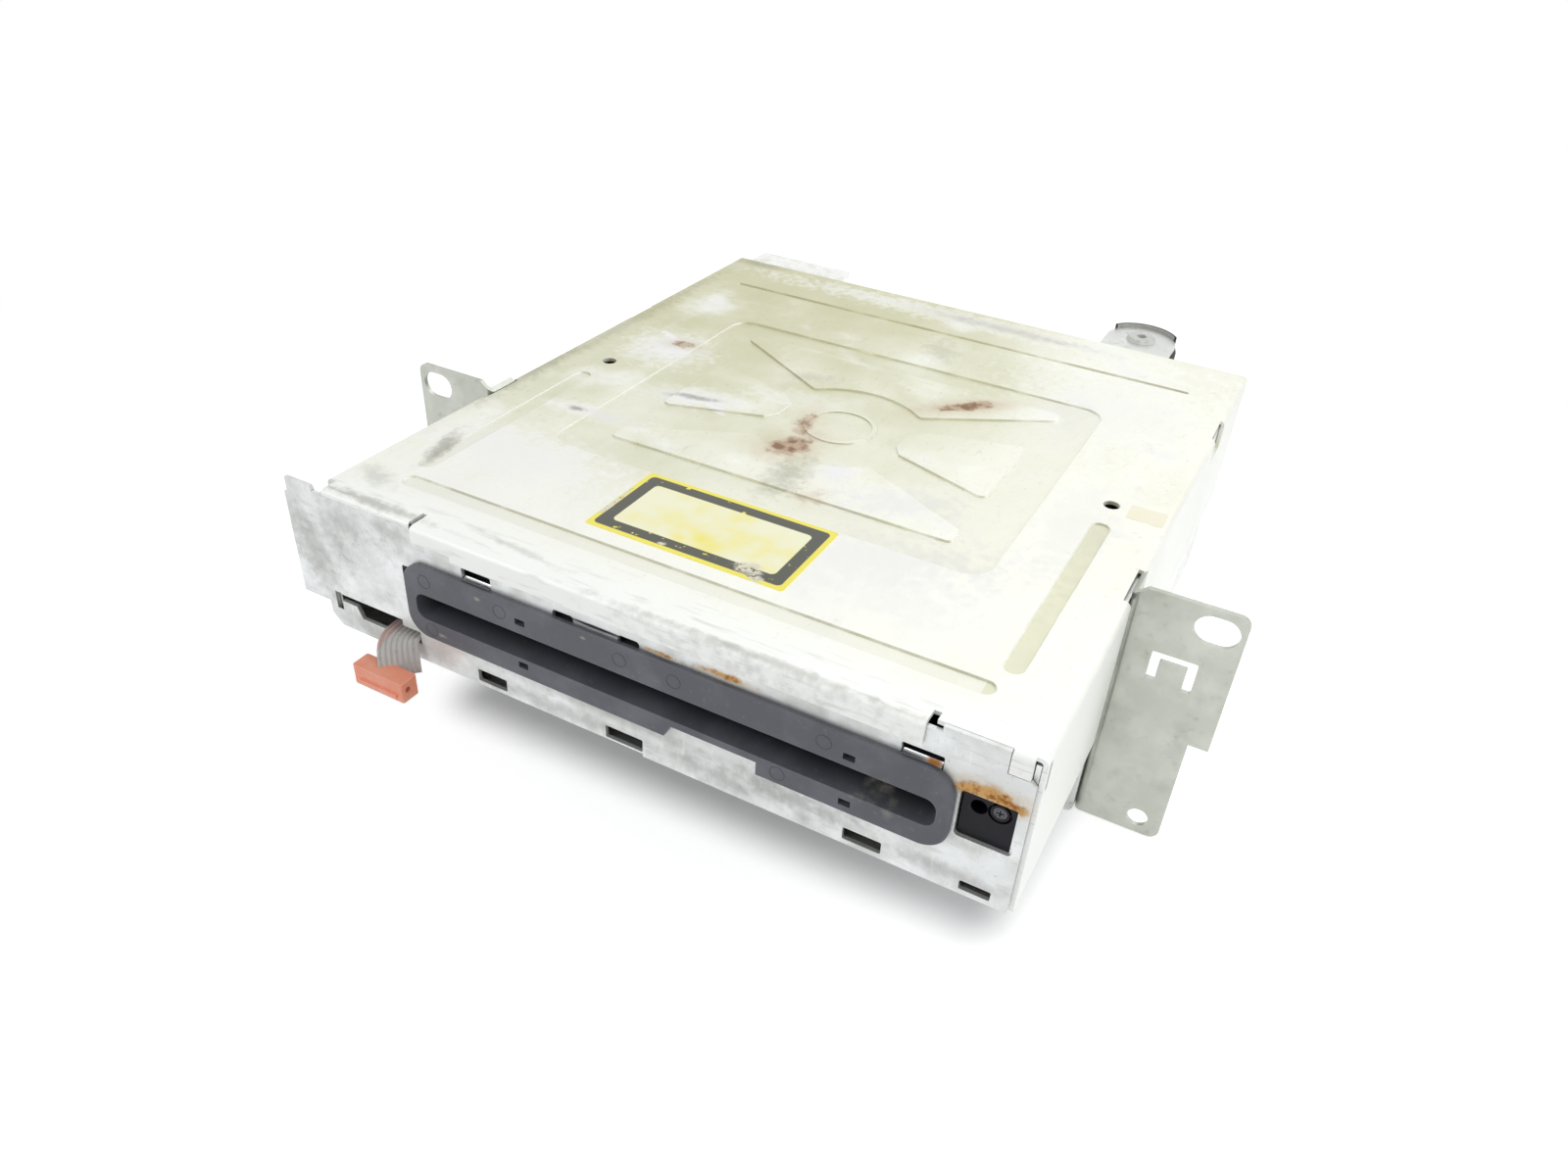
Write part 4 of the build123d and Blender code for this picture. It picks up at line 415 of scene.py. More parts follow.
@dataclass(frozen=True)
class PassivatedCover:
    """Yellow-passivated zinc sheet, pressed and long exposed.

    To the eye it is cream and dull, with olive clouds where the passivation is thick. White
    zinc bloom, brown rust and dark scuffs break it up, and painted shade darkens the pressed walls.
    """

    ground: str = "F1F2E6"
    olive: str = "CFCFB0"
    olive_rear: str = "C6C49A"
    olive_broad: str = "C9C8A2"
    olive_rib: str = "D2D0A6"
    pale: str = "FBFCF8"
    scraped: str = "FFFFFF"
    bare: str = "F8FAF8"
    skirt_painted_light: str = "F6F8F4"
    wall_shade_clouds: str = "A5A280"
    wall_shade: str = "B4B190"
    crease_shade: str = "A5A281"
    rubbing: str = "A8A9A0"
    grime: str = "A9A68C"
    scuff: str = "6F6A58"
    rust_halo: str = "CDB9A2"
    rust_light: str = "CBB299"
    rust_dark: str = "977860"
    # Where each part starts and where it is full, in metres along Z and along Y
    field_height: Pair = (0.0638, 0.0642)
    floor_height: Pair = (0.0648, 0.0645)
    front_paler_from: Pair = (0.002, -0.03)
    rubbed_from: Pair = (-0.047, -0.0605)
    rust: Marks = placed(
        (24.0, 66.5, 11.5, 3.0, 41.0, 0.4),
        (27.0, 70.5, 5.0, 2.6, 41.0, 0.4),
        (-6.0, 19.5, 5.2, 8.0, -20.0, 0.4),
        (-8.5, 32.0, 3.0, 8.5, 10.0, 0.6, 0.6),
        (-63.0, 58.0, 4.6, 2.8, 20.0, 0.5, 0.7),
        (11.0, -2.0, 4.5, 4.0, 0.0, 0.8, 0.2),
    )
    bloom: Marks = placed(
        (-41.0, 29.0, 15.0, 6.5, 12.0, 0.5),
        (-57.0, 6.0, 17.0, 4.0, 6.0, 0.6),
        (10.0, 12.0, 6.0, 7.5, 0.0, 0.7),
        (-65.0, 53.0, 14.0, 12.0, 0.0, 0.7),
        (-60.0, -25.0, 26.0, 14.0, 0.0, 0.9),
        (30.0, 8.0, 20.0, 9.0, 30.0, 0.9),
        (35.0, -20.0, 34.0, 16.0, 20.0, 0.9),
        (-20.0, 44.0, 12.0, 6.0, 15.0, 0.9, 0.6),
        (40.0, -30.0, 30.0, 10.0, 0.0, 0.9, 0.7),
        (70.0, 20.0, 14.0, 40.0, 0.0, 0.9, 0.7),
        (60.0, 90.0, 30.0, 30.0, 0.0, 0.9, 0.7),
        (-60.0, -45.0, 26.0, 12.0, 0.0, 0.9, 0.7),
        (0.0, 128.0, 80.0, 6.0, 0.0, 0.9, 0.8),
    )
    scrapes: Marks = placed(
        (-42.0, 28.0, 13.0, 3.4, 12.0, 0.4),
        (-33.0, 26.5, 6.0, 1.6, -14.0, 0.4),
        (-58.0, 6.0, 16.0, 1.7, 6.0, 0.4),
        (-68.0, 60.0, 9.0, 1.6, -30.0, 0.4),
        (-64.0, 51.5, 8.0, 4.6, 0.0, 0.6),
        (10.0, 13.0, 6.5, 4.5, 20.0, 0.8),
        (16.0, -3.0, 9.0, 1.4, 10.0, 0.5, 0.6),
    )
    scuffs: Marks = placed(
        (-41.0, 29.0, 7.0, 1.4, 12.0, 0.7, 0.8),
        (-63.0, 5.5, 3.0, 1.2, 6.0, 0.8, 0.9),
        (-77.5, -31.0, 2.0, 9.0, 12.0, 0.8, 0.7),
        (1.0, 5.0, 5.0, 10.5, 0.0, 0.8, 0.5),
        (15.0, 128.0, 26.0, 3.0, 0.0, 0.9, 0.4),
        (-80.0, 134.0, 10.0, 3.0, 0.0, 0.9, 0.5),
        (-86.0, 60.0, 2.6, 60.0, 0.0, 1.0, 0.35),
        (4.0, 100.0, 5.0, 8.0, 30.0, 0.9, 0.3),
        (-20.0, 60.0, 9.0, 3.0, 20.0, 0.9, 0.25),
        (-72.0, -59.5, 14.0, 1.6, 0.0, 0.8, 0.6),
        (-34.0, -57.0, 12.0, 1.0, -6.0, 0.8, 0.35),
        (30.0, -62.0, 34.0, 1.0, 0.0, 0.9, 0.45),
        (-87.0, 20.0, 2.4, 26.0, 0.0, 0.9, 0.5),
        (-80.0, -50.0, 3.0, 6.0, 60.0, 0.9, 0.35),
    )

    def material(self) -> Material:
        """Build the layers and return the material."""
        coat = Layers("zinc_sheet_yellow_passivated", self.ground, 0.65, 0.45)
        self.passivate(coat)
        self.weather(coat)
        self.press(coat)
        self.rub(coat)
        self.rust_over(coat)
        # The coat's own grain is really far finer: drawn coarser, so that it shows
        coat.raise_by(coat.grain(0.8, 0.3, 0.7, 2.0), 0.006)
        coat.raise_by(coat.grain(16.0, 0.2, 0.8, 2.0), 0.16)
        return coat.done()

    def passivate(self, coat: Layers) -> None:
        """Lay the olive clouds, thickest at the left and at the rear."""
        streaks = coat.grain(46.0, 0.42, 0.72, 5.0, (0.8, 1.6, 1.0))
        coat.lay(streaks, self.olive, roughness=0.5, share=0.45)
        left = coat.region((0.05, -0.06), (-0.045, 0.0))
        coat.lay(coat.times(left, coat.grain(22.0, 0.25, 0.7, 5.0)), self.olive, share=0.55)
        coat.lay(coat.region((0.02, -0.05), (0.03, 0.1)), self.olive_rear, share=0.45)
        broad = coat.region((0.05, 0.0), (0.0, 0.03))
        clouds = coat.grain(30.0, 0.3, 0.62, 5.0, shift=0.8)
        coat.lay(coat.times(broad, clouds), self.olive_broad, share=0.55)

    def weather(self, coat: Layers) -> None:
        """Lay the white bloom, the fine rubbing and a paler tone over the front third."""
        haze = coat.grain(24.0, 0.52, 0.76, 6.0, shift=0.3)
        coat.lay(haze, self.pale, metallic=0.1, roughness=0.7, share=0.9)
        # Fine rubbing, about a millimetre wide so that it shows
        coat.lay(coat.grain(1.6, 0.58, 0.76, 4.0, (1.0, 4.0, 1.0)), self.grime, share=0.16)
        coat.lay(coat.grain(1.2, 0.62, 0.74, 3.0, shift=0.7), self.grime, roughness=0.8, share=0.3)
        bloom = coat.stains(self.bloom, Face.TOP, 0.4)
        coat.lay(bloom, self.pale, metallic=0.0, roughness=0.85, share=0.9)
        scrapes = coat.stains(self.scrapes, Face.TOP)
        coat.lay(scrapes, self.scraped, metallic=0.0, roughness=0.9, share=0.85)
        # Paler towards the front
        front_paler = coat.between(coat.along(1), *self.front_paler_from)
        coat.lay(front_paler, self.pale, metallic=0.2, roughness=0.7, share=0.45)

    def press(self, coat: Layers) -> None:
        """Tint the floors of the pressed fields and ribs; darken walls and creases as painted shade.
        """
        field = coat.times(coat.band(0, -82.0, 82.0), coat.band(1, -55.0, 118.0))
        pressed = coat.times(field, coat.between(coat.along(2), *self.field_height))
        walls = coat.times(pressed, coat.slopes(2, 0.985, 0.9))
        floor = coat.times(pressed, coat.between(coat.along(2), *self.floor_height))
        coat.lay(floor, self.olive, share=0.2)
        outer = coat.combine("SUBTRACT", 1.0, coat.band(0, -71.5, 71.5))
        ribs = coat.times(outer, coat.between(coat.along(0), -0.08, 0.04))
        coat.lay(coat.times(floor, ribs), self.olive_rib, roughness=0.6, share=0.45)
        # Painted shade: the pressed walls and their creases are darkened, partly in faint clouds
        faint = coat.grain(14.0, 0.3, 0.55, 3.0, shift=0.35)
        coat.lay(coat.times(walls, faint), self.wall_shade_clouds, roughness=0.7, share=0.5)
        coat.lay(walls, self.wall_shade, roughness=0.7, share=0.2)
        creases = coat.times(pressed, coat.edges(0.3, 0.004, 0.05))
        coat.lay(coat.times(creases, faint), self.crease_shade, roughness=0.7, share=0.4)

    def rub(self, coat: Layers) -> None:
        """Rub the front bend off to blue-white zinc, and whiten the side skirts as painted light."""
        rubbed = coat.between(coat.along(1), *self.rubbed_from)
        coat.lay(rubbed, self.bare, metallic=0.4, share=0.8)
        streaks = coat.grain(1.3, 0.54, 0.72, 3.0, (9.0, 1.0, 1.0), 0.5)
        coat.lay(coat.times(rubbed, streaks), self.rubbing, roughness=0.7, share=0.28)
        # Painted light: the faces that look along X, the side skirts, are whitened
        coat.lay(coat.slopes(0, 0.5, 0.9), self.skirt_painted_light, metallic=0.35, share=0.85)

    def rust_over(self, coat: Layers) -> None:
        """Lay the scuffs and the rust, which is palest at its rim."""
        scuffs = coat.stains(self.scuffs, Face.TOP, 0.6)
        coat.lay(scuffs, self.scuff, metallic=0.1, roughness=0.85, share=0.7)
        halo = coat.stains(self.rust, Face.TOP, 1.2)
        coat.lay(halo, self.rust_halo, metallic=0.1, roughness=0.8, share=0.7)
        rust = coat.stains(self.rust, Face.TOP)
        coat.lay(rust, self.rust_light, metallic=0.0, roughness=0.9, share=0.9)
        scabs = coat.times(rust, coat.grain(3.0, 0.45, 0.62, 4.0, shift=0.2))
        coat.lay(scabs, self.rust_dark, metallic=0.0, roughness=0.95)


@dataclass(frozen=True)
class StainedPlate:
    """Blue-white zinc plate, pressed.

    To the eye it is bright and mottled, smeared with dirt along its foot and rusty at a window.
    """

    ground: str = "D8DBD9"
    bright: str = "F3F6F6"
    dull: str = "B4B7AF"
    dirt: str = "77736A"
    bloom: str = "FFFFFF"
    gap_shadow: str = "1C1B22"
    rust_halo: str = "D9C09A"
    rust_light: str = "E6B46E"
    rust_dark: str = "A8682F"
    rust: Marks = placed(
        (80.5, 53.2, 8.0, 2.4, 0.0, 0.5),
        (84.5, 52.4, 3.6, 2.0, 0.0, 0.5),
        (75.5, 52.6, 3.0, 1.8, 0.0, 0.5),
        (23.4, 56.6, 6.0, 1.0, 0.0, 0.5),
        (8.0, 56.0, 5.0, 0.5, 0.0, 0.7, 0.7),
    )
    sparks: Marks = placed(
        (10.0, 56.0, 6.5, 0.9, 0.0, 0.9),
        (-74.0, 51.0, 10.0, 6.5, 30.0, 1.0),
        (-70.0, 44.0, 4.0, 5.0, 0.0, 1.0, 0.8),
    )
    # Painted shadow: thin dark lines where the plate has gaps
    gap_shadows: Marks = placed(
        (-8.5, 56.2, 11.0, 0.6, 0.0, 0.1),
        (-61.9, 47.5, 0.6, 3.4, 0.0, 0.1),
    )
    smears: Marks = placed(
        (-92.0, 46.0, 5.0, 12.0, 20.0, 0.9, 0.6),
        (-80.0, 58.0, 7.0, 4.0, -20.0, 0.9, 0.5),
        (-84.0, 52.0, 3.0, 7.0, 30.0, 0.9, 0.55),
        (-66.0, 60.5, 7.0, 2.0, 0.0, 0.9, 0.5),
        (-72.0, 40.0, 6.0, 2.0, 0.0, 0.9, 0.35),
        (40.0, 31.5, 14.0, 3.0, 0.0, 0.9, 0.7),
        (22.0, 29.0, 10.0, 2.4, 0.0, 0.9, 0.6),
        (-20.0, 28.5, 22.0, 2.0, 0.0, 0.9, 0.5),
        (-70.0, 29.0, 14.0, 2.2, 0.0, 0.9, 0.5),
        (75.0, 29.5, 10.0, 1.8, 0.0, 0.9, 0.5),
        (-5.0, 33.5, 30.0, 1.4, 0.0, 0.9, 0.4),
    )

    def material(self) -> Material:
        """Build the layers and return the material."""
        coat = Layers("zinc_plate_blue_white", self.ground, 0.6, 0.42)
        coat.lay(coat.grain(14.0, 0.35, 0.7, 5.0), self.bright, roughness=0.38, share=0.8)
        coat.lay(coat.grain(9.0, 0.45, 0.8, 5.0, shift=0.4), self.dull, roughness=0.55, share=0.7)
        coat.lay(coat.grain(1.6, 0.56, 0.72, 3.0, (4.0, 1.0, 1.0)), self.dull, share=0.3)
        coat.lay(coat.grain(1.0, 0.6, 0.74, 3.0, shift=0.6), self.dirt, roughness=0.8, share=0.25)
        coat.lay(coat.grain(1.0, 0.6, 0.72, 2.0, (1.0, 1.0, 7.0), 0.9), self.bright, share=0.4)
        smears = coat.stains(self.smears, Face.FRONT, 0.9)
        coat.lay(smears, self.dirt, metallic=0.1, roughness=0.85, share=0.6)
        sparks = coat.stains(self.sparks, Face.FRONT, 0.5)
        sparks = coat.times(sparks, coat.grain(1.1, 0.45, 0.6, 3.0))
        coat.lay(sparks, self.bloom, metallic=0.0, roughness=0.8)
        # Painted shadow in the plate's gaps
        coat.lay(coat.stains(self.gap_shadows, Face.FRONT), self.gap_shadow, metallic=0.0, roughness=0.9)
        halo = coat.stains(self.rust, Face.FRONT, 0.9)
        coat.lay(halo, self.rust_halo, metallic=0.1, roughness=0.8, share=0.8)
        rust = coat.stains(self.rust, Face.FRONT)
        coat.lay(rust, self.rust_light, metallic=0.0, roughness=0.9)
        scabs = coat.times(rust, coat.grain(2.0, 0.45, 0.62, 4.0, shift=0.2))
        coat.lay(scabs, self.rust_dark, metallic=0.0, roughness=0.95)
        # The coat's own grain is really far finer: drawn coarser, so that it shows
        coat.raise_by(coat.grain(0.7, 0.3, 0.7, 2.0), 0.006)
        coat.raise_by(coat.grain(12.0, 0.2, 0.8, 2.0), 0.1)
        return coat.done()


@dataclass(frozen=True)
class ZincSheet:
    """Zinc-plated sheet steel, folded.

    To the eye it is a soft grey with crystal mottling, with a painted highlight along its edges.
    """

    name: str
    ground: str = "CFD2D0"
    light: str = "E8EAE8"
    dull: str = "A9ACA6"
    dirt: float = 0.3
    roughness: float = 0.38
    mottled: float = 0.7
    rust: Marks = ()
    grime: str = "77746A"
    rust_colour: str = "D08A3C"

    def material(self) -> Material:
        """Build the layers and return the material."""
        coat = Layers(self.name, self.ground, 0.9, self.roughness)
        bright = coat.grain(11.0, 0.38, 0.68, 4.0)
        coat.lay(bright, self.light, roughness=self.roughness - 0.06, share=self.mottled)
        dull = coat.grain(7.0, 0.5, 0.75, 5.0, shift=0.4)
        coat.lay(dull, self.dull, roughness=0.55, share=self.mottled * 0.85)
        dirt = coat.grain(3.0, 0.58, 0.74, 6.0, shift=0.1)
        coat.lay(dirt, self.grime, metallic=0.3, roughness=0.8, share=self.dirt)
        # Painted highlight: a lighter strip along each sharp edge
        coat.lay(coat.edges(0.5, 0.06, 0.3), self.light, roughness=0.3, share=0.5)
        if self.rust:
            rust = coat.stains(self.rust, Face.FRONT, 0.4)
            coat.lay(rust, self.rust_colour, metallic=0.0, roughness=0.9)
        # Drag lines along the sheet are really finer: drawn coarser, so that they show
        coat.raise_by(coat.grain(0.6, 0.3, 0.7, 2.0, (1.0, 6.0, 1.0)), 0.004)
        return coat.done()


BEZEL_DIRT = placed(
    (58.5, 43.0, 4.0, 1.6, 20.0, 0.9, 0.7),
    (61.5, 39.5, 1.4, 1.2, 0.0, 0.9, 0.4),
    (-52.0, 37.4, 1.2, 0.6, 0.0, 0.9, 0.8),
    (-40.0, 52.5, 0.8, 0.5, 0.0, 0.9, 0.8),
    (-11.0, 53.4, 0.8, 0.4, 0.0, 0.9, 0.8),
)


@dataclass(frozen=True)
class Moulding:
    """Injection-moulded plastic with a fine spark-eroded skin.

    To the eye it is even and matt, with edges rubbed shiny under a painted highlight, and a little
    dust.
    """

    name: str
    ground: str
    rubbed: str
    roughness: float = 0.5
    skin: float = 0.012
    dust: float = 0.15
    clear: float = 0.0
    shine: float = 0.5
    stains: Marks = ()
    dust_colour: str = "A39E90"
    slot_shade_colour: str = "0E0D16"
    # Where the painted shade deep in the slot starts and where it is full, in metres along Y
    slot_depth: Pair = (-0.0629, -0.0562)
    stain_colour: str = "BDB8AA"

    def material(self) -> Material:
        """Build the layers and return the material."""
        coat = Layers(self.name, self.ground, 0.0, self.roughness)
        worn = coat.grain(12.0, 0.4, 0.7, 4.0)
        coat.lay(worn, self.rubbed, roughness=self.roughness - 0.08, share=0.35)
        # Lighter rims along each sharp edge: rubbed wear and a painted highlight
        rim_wear_and_highlight = coat.edges(0.4, 0.05, 0.3)
        coat.lay(rim_wear_and_highlight, self.rubbed, roughness=self.roughness - 0.12, share=0.8)
        dust = coat.grain(1.6, 0.6, 0.76, 5.0, shift=0.3)
        coat.lay(dust, self.dust_colour, roughness=0.9, share=self.dust)
        if self.stains:
            # Painted shade: deep in the slot the skin is darkened to near black
            slot_shade = coat.between(coat.along(1), *self.slot_depth)
            coat.lay(slot_shade, self.slot_shade_colour, roughness=0.6, share=0.93)
            spots = coat.stains(self.stains, Face.FRONT, 0.5)
            coat.lay(spots, self.stain_colour, roughness=0.9, share=0.8)
        # A spark-eroded skin is really finer: drawn coarser, so that it shows
        coat.raise_by(coat.grain(0.35, 0.3, 0.7, 1.0), self.skin)
        return coat.done(Subsurface_Weight=self.clear, Specular_IOR_Level=self.shine)


@dataclass(frozen=True)
class Metal:
    """Solid metal, turned, drawn or extruded.

    To the eye it shines, with fine tool marks across it. On bare aluminium lies a white bloom.
    """

    name: str
    ground: str
    shade: str
    roughness: float = 0.25
    stretch: Triple = (1.0, 1.0, 1.0)
    bloom: float = 0.0
    bloom_colour: str = "F4F4F0"
    edge_highlight_colour: str = "FFFFFF"

    def material(self) -> Material:
        """Build the layers and return the material."""
        coat = Layers(self.name, self.ground, 1.0, self.roughness)
        # Tool marks really lie closer: drawn coarser, so that they show
        drawn = coat.grain(1.2, 0.35, 0.7, 3.0, self.stretch)
        coat.lay(drawn, self.shade, roughness=self.roughness + 0.12, share=0.6)
        white = coat.grain(6.0, 0.4, 0.62, 5.0, shift=0.2)
        coat.lay(white, self.bloom_colour, metallic=0.0, roughness=0.9, share=self.bloom)
        # Painted highlight: a white strip along each sharp edge
        coat.lay(coat.edges(0.3, 0.05, 0.3), self.edge_highlight_colour, share=0.3)
        coat.raise_by(coat.grain(0.3, 0.3, 0.7, 1.0, self.stretch), 0.003)
        return coat.done()


@dataclass(frozen=True)
class BorderedLabel:
    """Yellow vinyl label, printed with a dark border round a bare field.

    To the eye it is smooth, with a painted glare in its field, and scuffed through at one corner.
    """

    ground: str = "FFF368"
    glare: str = "FFFFE2"
    border: str = "57584F"
    margin: float = 1.3
    frame_width: float = 3.1
    round: float = 1.3
    soft: float = 0.12
    scuffed: str = "E9E6D2"
    scuff_dirt: str = "7B6A55"
    scuffs: Marks = placed(
        (13.5, -36.5, 4.5, 2.6, 0.0, 0.6),
        (16.5, -39.0, 3.0, 1.6, 0.0, 0.6),
        (-7.5, -38.6, 1.4, 1.0, 0.0, 0.6),
        (-26.4, -30.0, 0.9, 8.0, 0.0, 0.7),
    )

    def material(self) -> Material:
        """Build the layers and return the material."""
        low, high = (Vector(corner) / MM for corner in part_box("label_sticker"))
        coat = Layers("vinyl_label_yellow", self.ground, 0.0, 0.35)

        def inside(inset: float) -> Socket:
            """Mask the label's rectangle, inset from its edge by some millimetres."""
            spans = tuple(
                ((low[axis] + high[axis]) / 2, (high[axis] - low[axis]) / 2 - inset - self.round)
                for axis in (0, 1)
            )
            edge = (self.round + self.soft) * MM, (self.round - self.soft) * MM
            return coat.between(coat.beyond(spans), *edge)

        field = inside(self.margin + self.frame_width)
        # Painted glare: the bare field is paler in broad clouds
        coat.lay(coat.times(field, coat.grain(12.0, 0.2, 0.6, 3.0)), self.glare, share=0.95)
        printed = coat.combine("SUBTRACT", inside(self.margin), field)
        worn = coat.between(coat.grain(2.0, 0.0, 1.0, 5.0, shift=0.5), 0.78, 0.7)
        coat.lay(coat.times(printed, worn), self.border, roughness=0.4)
        scuffs = coat.stains(self.scuffs, Face.TOP)
        coat.lay(scuffs, self.scuffed, roughness=0.8)
        dirt = coat.times(scuffs, coat.grain(1.2, 0.52, 0.66, 3.0))
        coat.lay(dirt, self.scuff_dirt, roughness=0.9)
        coat.raise_by(coat.grain(3.0, 0.2, 0.8, 3.0), 0.02)
        return coat.done()


@dataclass(frozen=True)
class RibbonSkin:
    """Grey PVC over eight ways. To the eye it has a dull sheen, and one edge way is tinted."""

    ground: str = "C6C4C0"
    shade: str = "9A9793"
    marked: str = "CBA9A4"
    centre: float = -64.0
    tint_until: float = 1.3
    plain_from: float = 1.45

    def material(self) -> Material:
        """Build the layers and return the material."""
        coat = Layers("pvc_ribbon_lead", self.ground, 0.0, 0.45)
        across = coat.combine("SUBTRACT", coat.along(0), (self.centre - WAY_PITCH * 4) * MM)
        tinted = coat.between(across, self.plain_from * MM, self.tint_until * MM)
        coat.lay(tinted, self.marked, share=0.8)
        coat.lay(coat.grain(2.0, 0.5, 0.75, 4.0), self.shade, share=0.35)
        coat.raise_by(coat.grain(0.5, 0.3, 0.7, 1.0), 0.004)
        return coat.done()


@dataclass(frozen=True)
class BoardLacquer:
    """Glass-epoxy board under lacquer. To the eye it is green, with paler tracks and tin spots."""

    ground: str = "1F5A35"
    track: str = "2F7A4A"
    tin: str = "C9CCC8"
    cell: float = 5.0
    track_every: float = 0.09
    track_edge: Pair = (0.03, 0.06)
    spot_edge: Pair = (0.11, 0.07)

    def material(self) -> Material:
        """Build the layers and return the material."""
        coat = Layers("glass_epoxy_board", self.ground, 0.0, 0.3)
        cells = add_node(
            coat.tree,
            "ShaderNodeTexVoronoi",
            {"Vector": coat.place, "Scale": 1 / (self.cell * MM), "Randomness": 0.6},
            distance="CHEBYCHEV",
            feature="F1",
        ).outputs["Distance"]
        tracks = coat.combine("PINGPONG", cells, self.track_every)
        coat.lay(coat.between(tracks, *self.track_edge), self.track, share=0.8)
        coat.lay(coat.between(cells, *self.spot_edge), self.tin, metallic=1.0, roughness=0.35)
        coat.lay(coat.grain(0.5, 0.4, 0.6, 1.0), self.track, share=0.2)
        return coat.done(Coat_Weight=0.3)


@dataclass(frozen=True)
class Felt:
    """Pressed wool felt. To the eye it is black and matt, with paler fibres lying on it."""

    ground: str = "1C1C1C"
    fibre: str = "3A3A38"

    def material(self) -> Material:
        """Build the layers and return the material."""
        coat = Layers("wool_felt", self.ground, 0.0, 0.95)
        # Wool fibres are really far thinner: drawn coarser, so that they show
        fibres = coat.grain(0.4, 0.4, 0.65, 4.0, (3.0, 1.0, 1.0))
        coat.lay(fibres, self.fibre)
        coat.raise_by(fibres, 0.08)
        return coat.done(Sheen_Weight=0.4)


@dataclass(frozen=True)
class ChalkedRubber:
    """Rubber bush. To the eye it is chalked pale on its faces, with painted shade along its outer
    rim.
    """

    ground: str = "D8D9D4"
    chalk: str = "B9BAB2"
    dark: str = "3E3E38"
    centre: Pair = (53.2, 149.0)
    rim: float = 10.9
    fade: float = 0.1

    def material(self) -> Material:
        """Build the layers and return the material."""
        coat = Layers("rubber_chalked", self.ground, 0.0, 0.85)
        coat.lay(coat.grain(2.5, 0.45, 0.7, 4.0), self.chalk, share=0.6)
        axis = (self.centre[0] * MM, self.centre[1] * MM, 0.0)
        level = {0: coat.place, 1: (1.0, 1.0, 0.0)}
        flat = add_node(coat.tree, "ShaderNodeVectorMath", level, operation="MULTIPLY").outputs[0]
        away = coat.distance(flat, axis)
        outer = coat.between(away, (self.rim - self.fade) * MM, self.rim * MM)
        # Painted shade: the outer rim is darkened
        coat.lay(outer, self.dark, roughness=0.75)
        coat.raise_by(coat.grain(0.6, 0.3, 0.7, 2.0), 0.02)
        return coat.done()


@dataclass(frozen=True)
class LensGlass:
    """Coated moulded lens in a grey holder. To the eye it is glossy, with a violet bloom."""

    ground: str = "3B4152"
    bloom: str = "6E6EA8"
    smear: str = "50566A"
    coated: float = 1.8
    bare: float = 2.4

    def material(self) -> Material:
        """Build the layers and return the material."""
        coat = Layers("coated_lens", self.ground, 0.0, 0.12)
        centre = Vector([sum(v) / 2 for v in zip(*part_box("pickup_lens"))])
        away = coat.distance(coat.place, tuple(centre))
        coated = coat.between(away, self.bare * MM, self.coated * MM)
        coat.lay(coated, self.bloom, roughness=0.03)
        coat.lay(coat.grain(1.5, 0.5, 0.7, 3.0), self.smear, roughness=0.3, share=0.4)
        return coat.done(Coat_Weight=0.6)


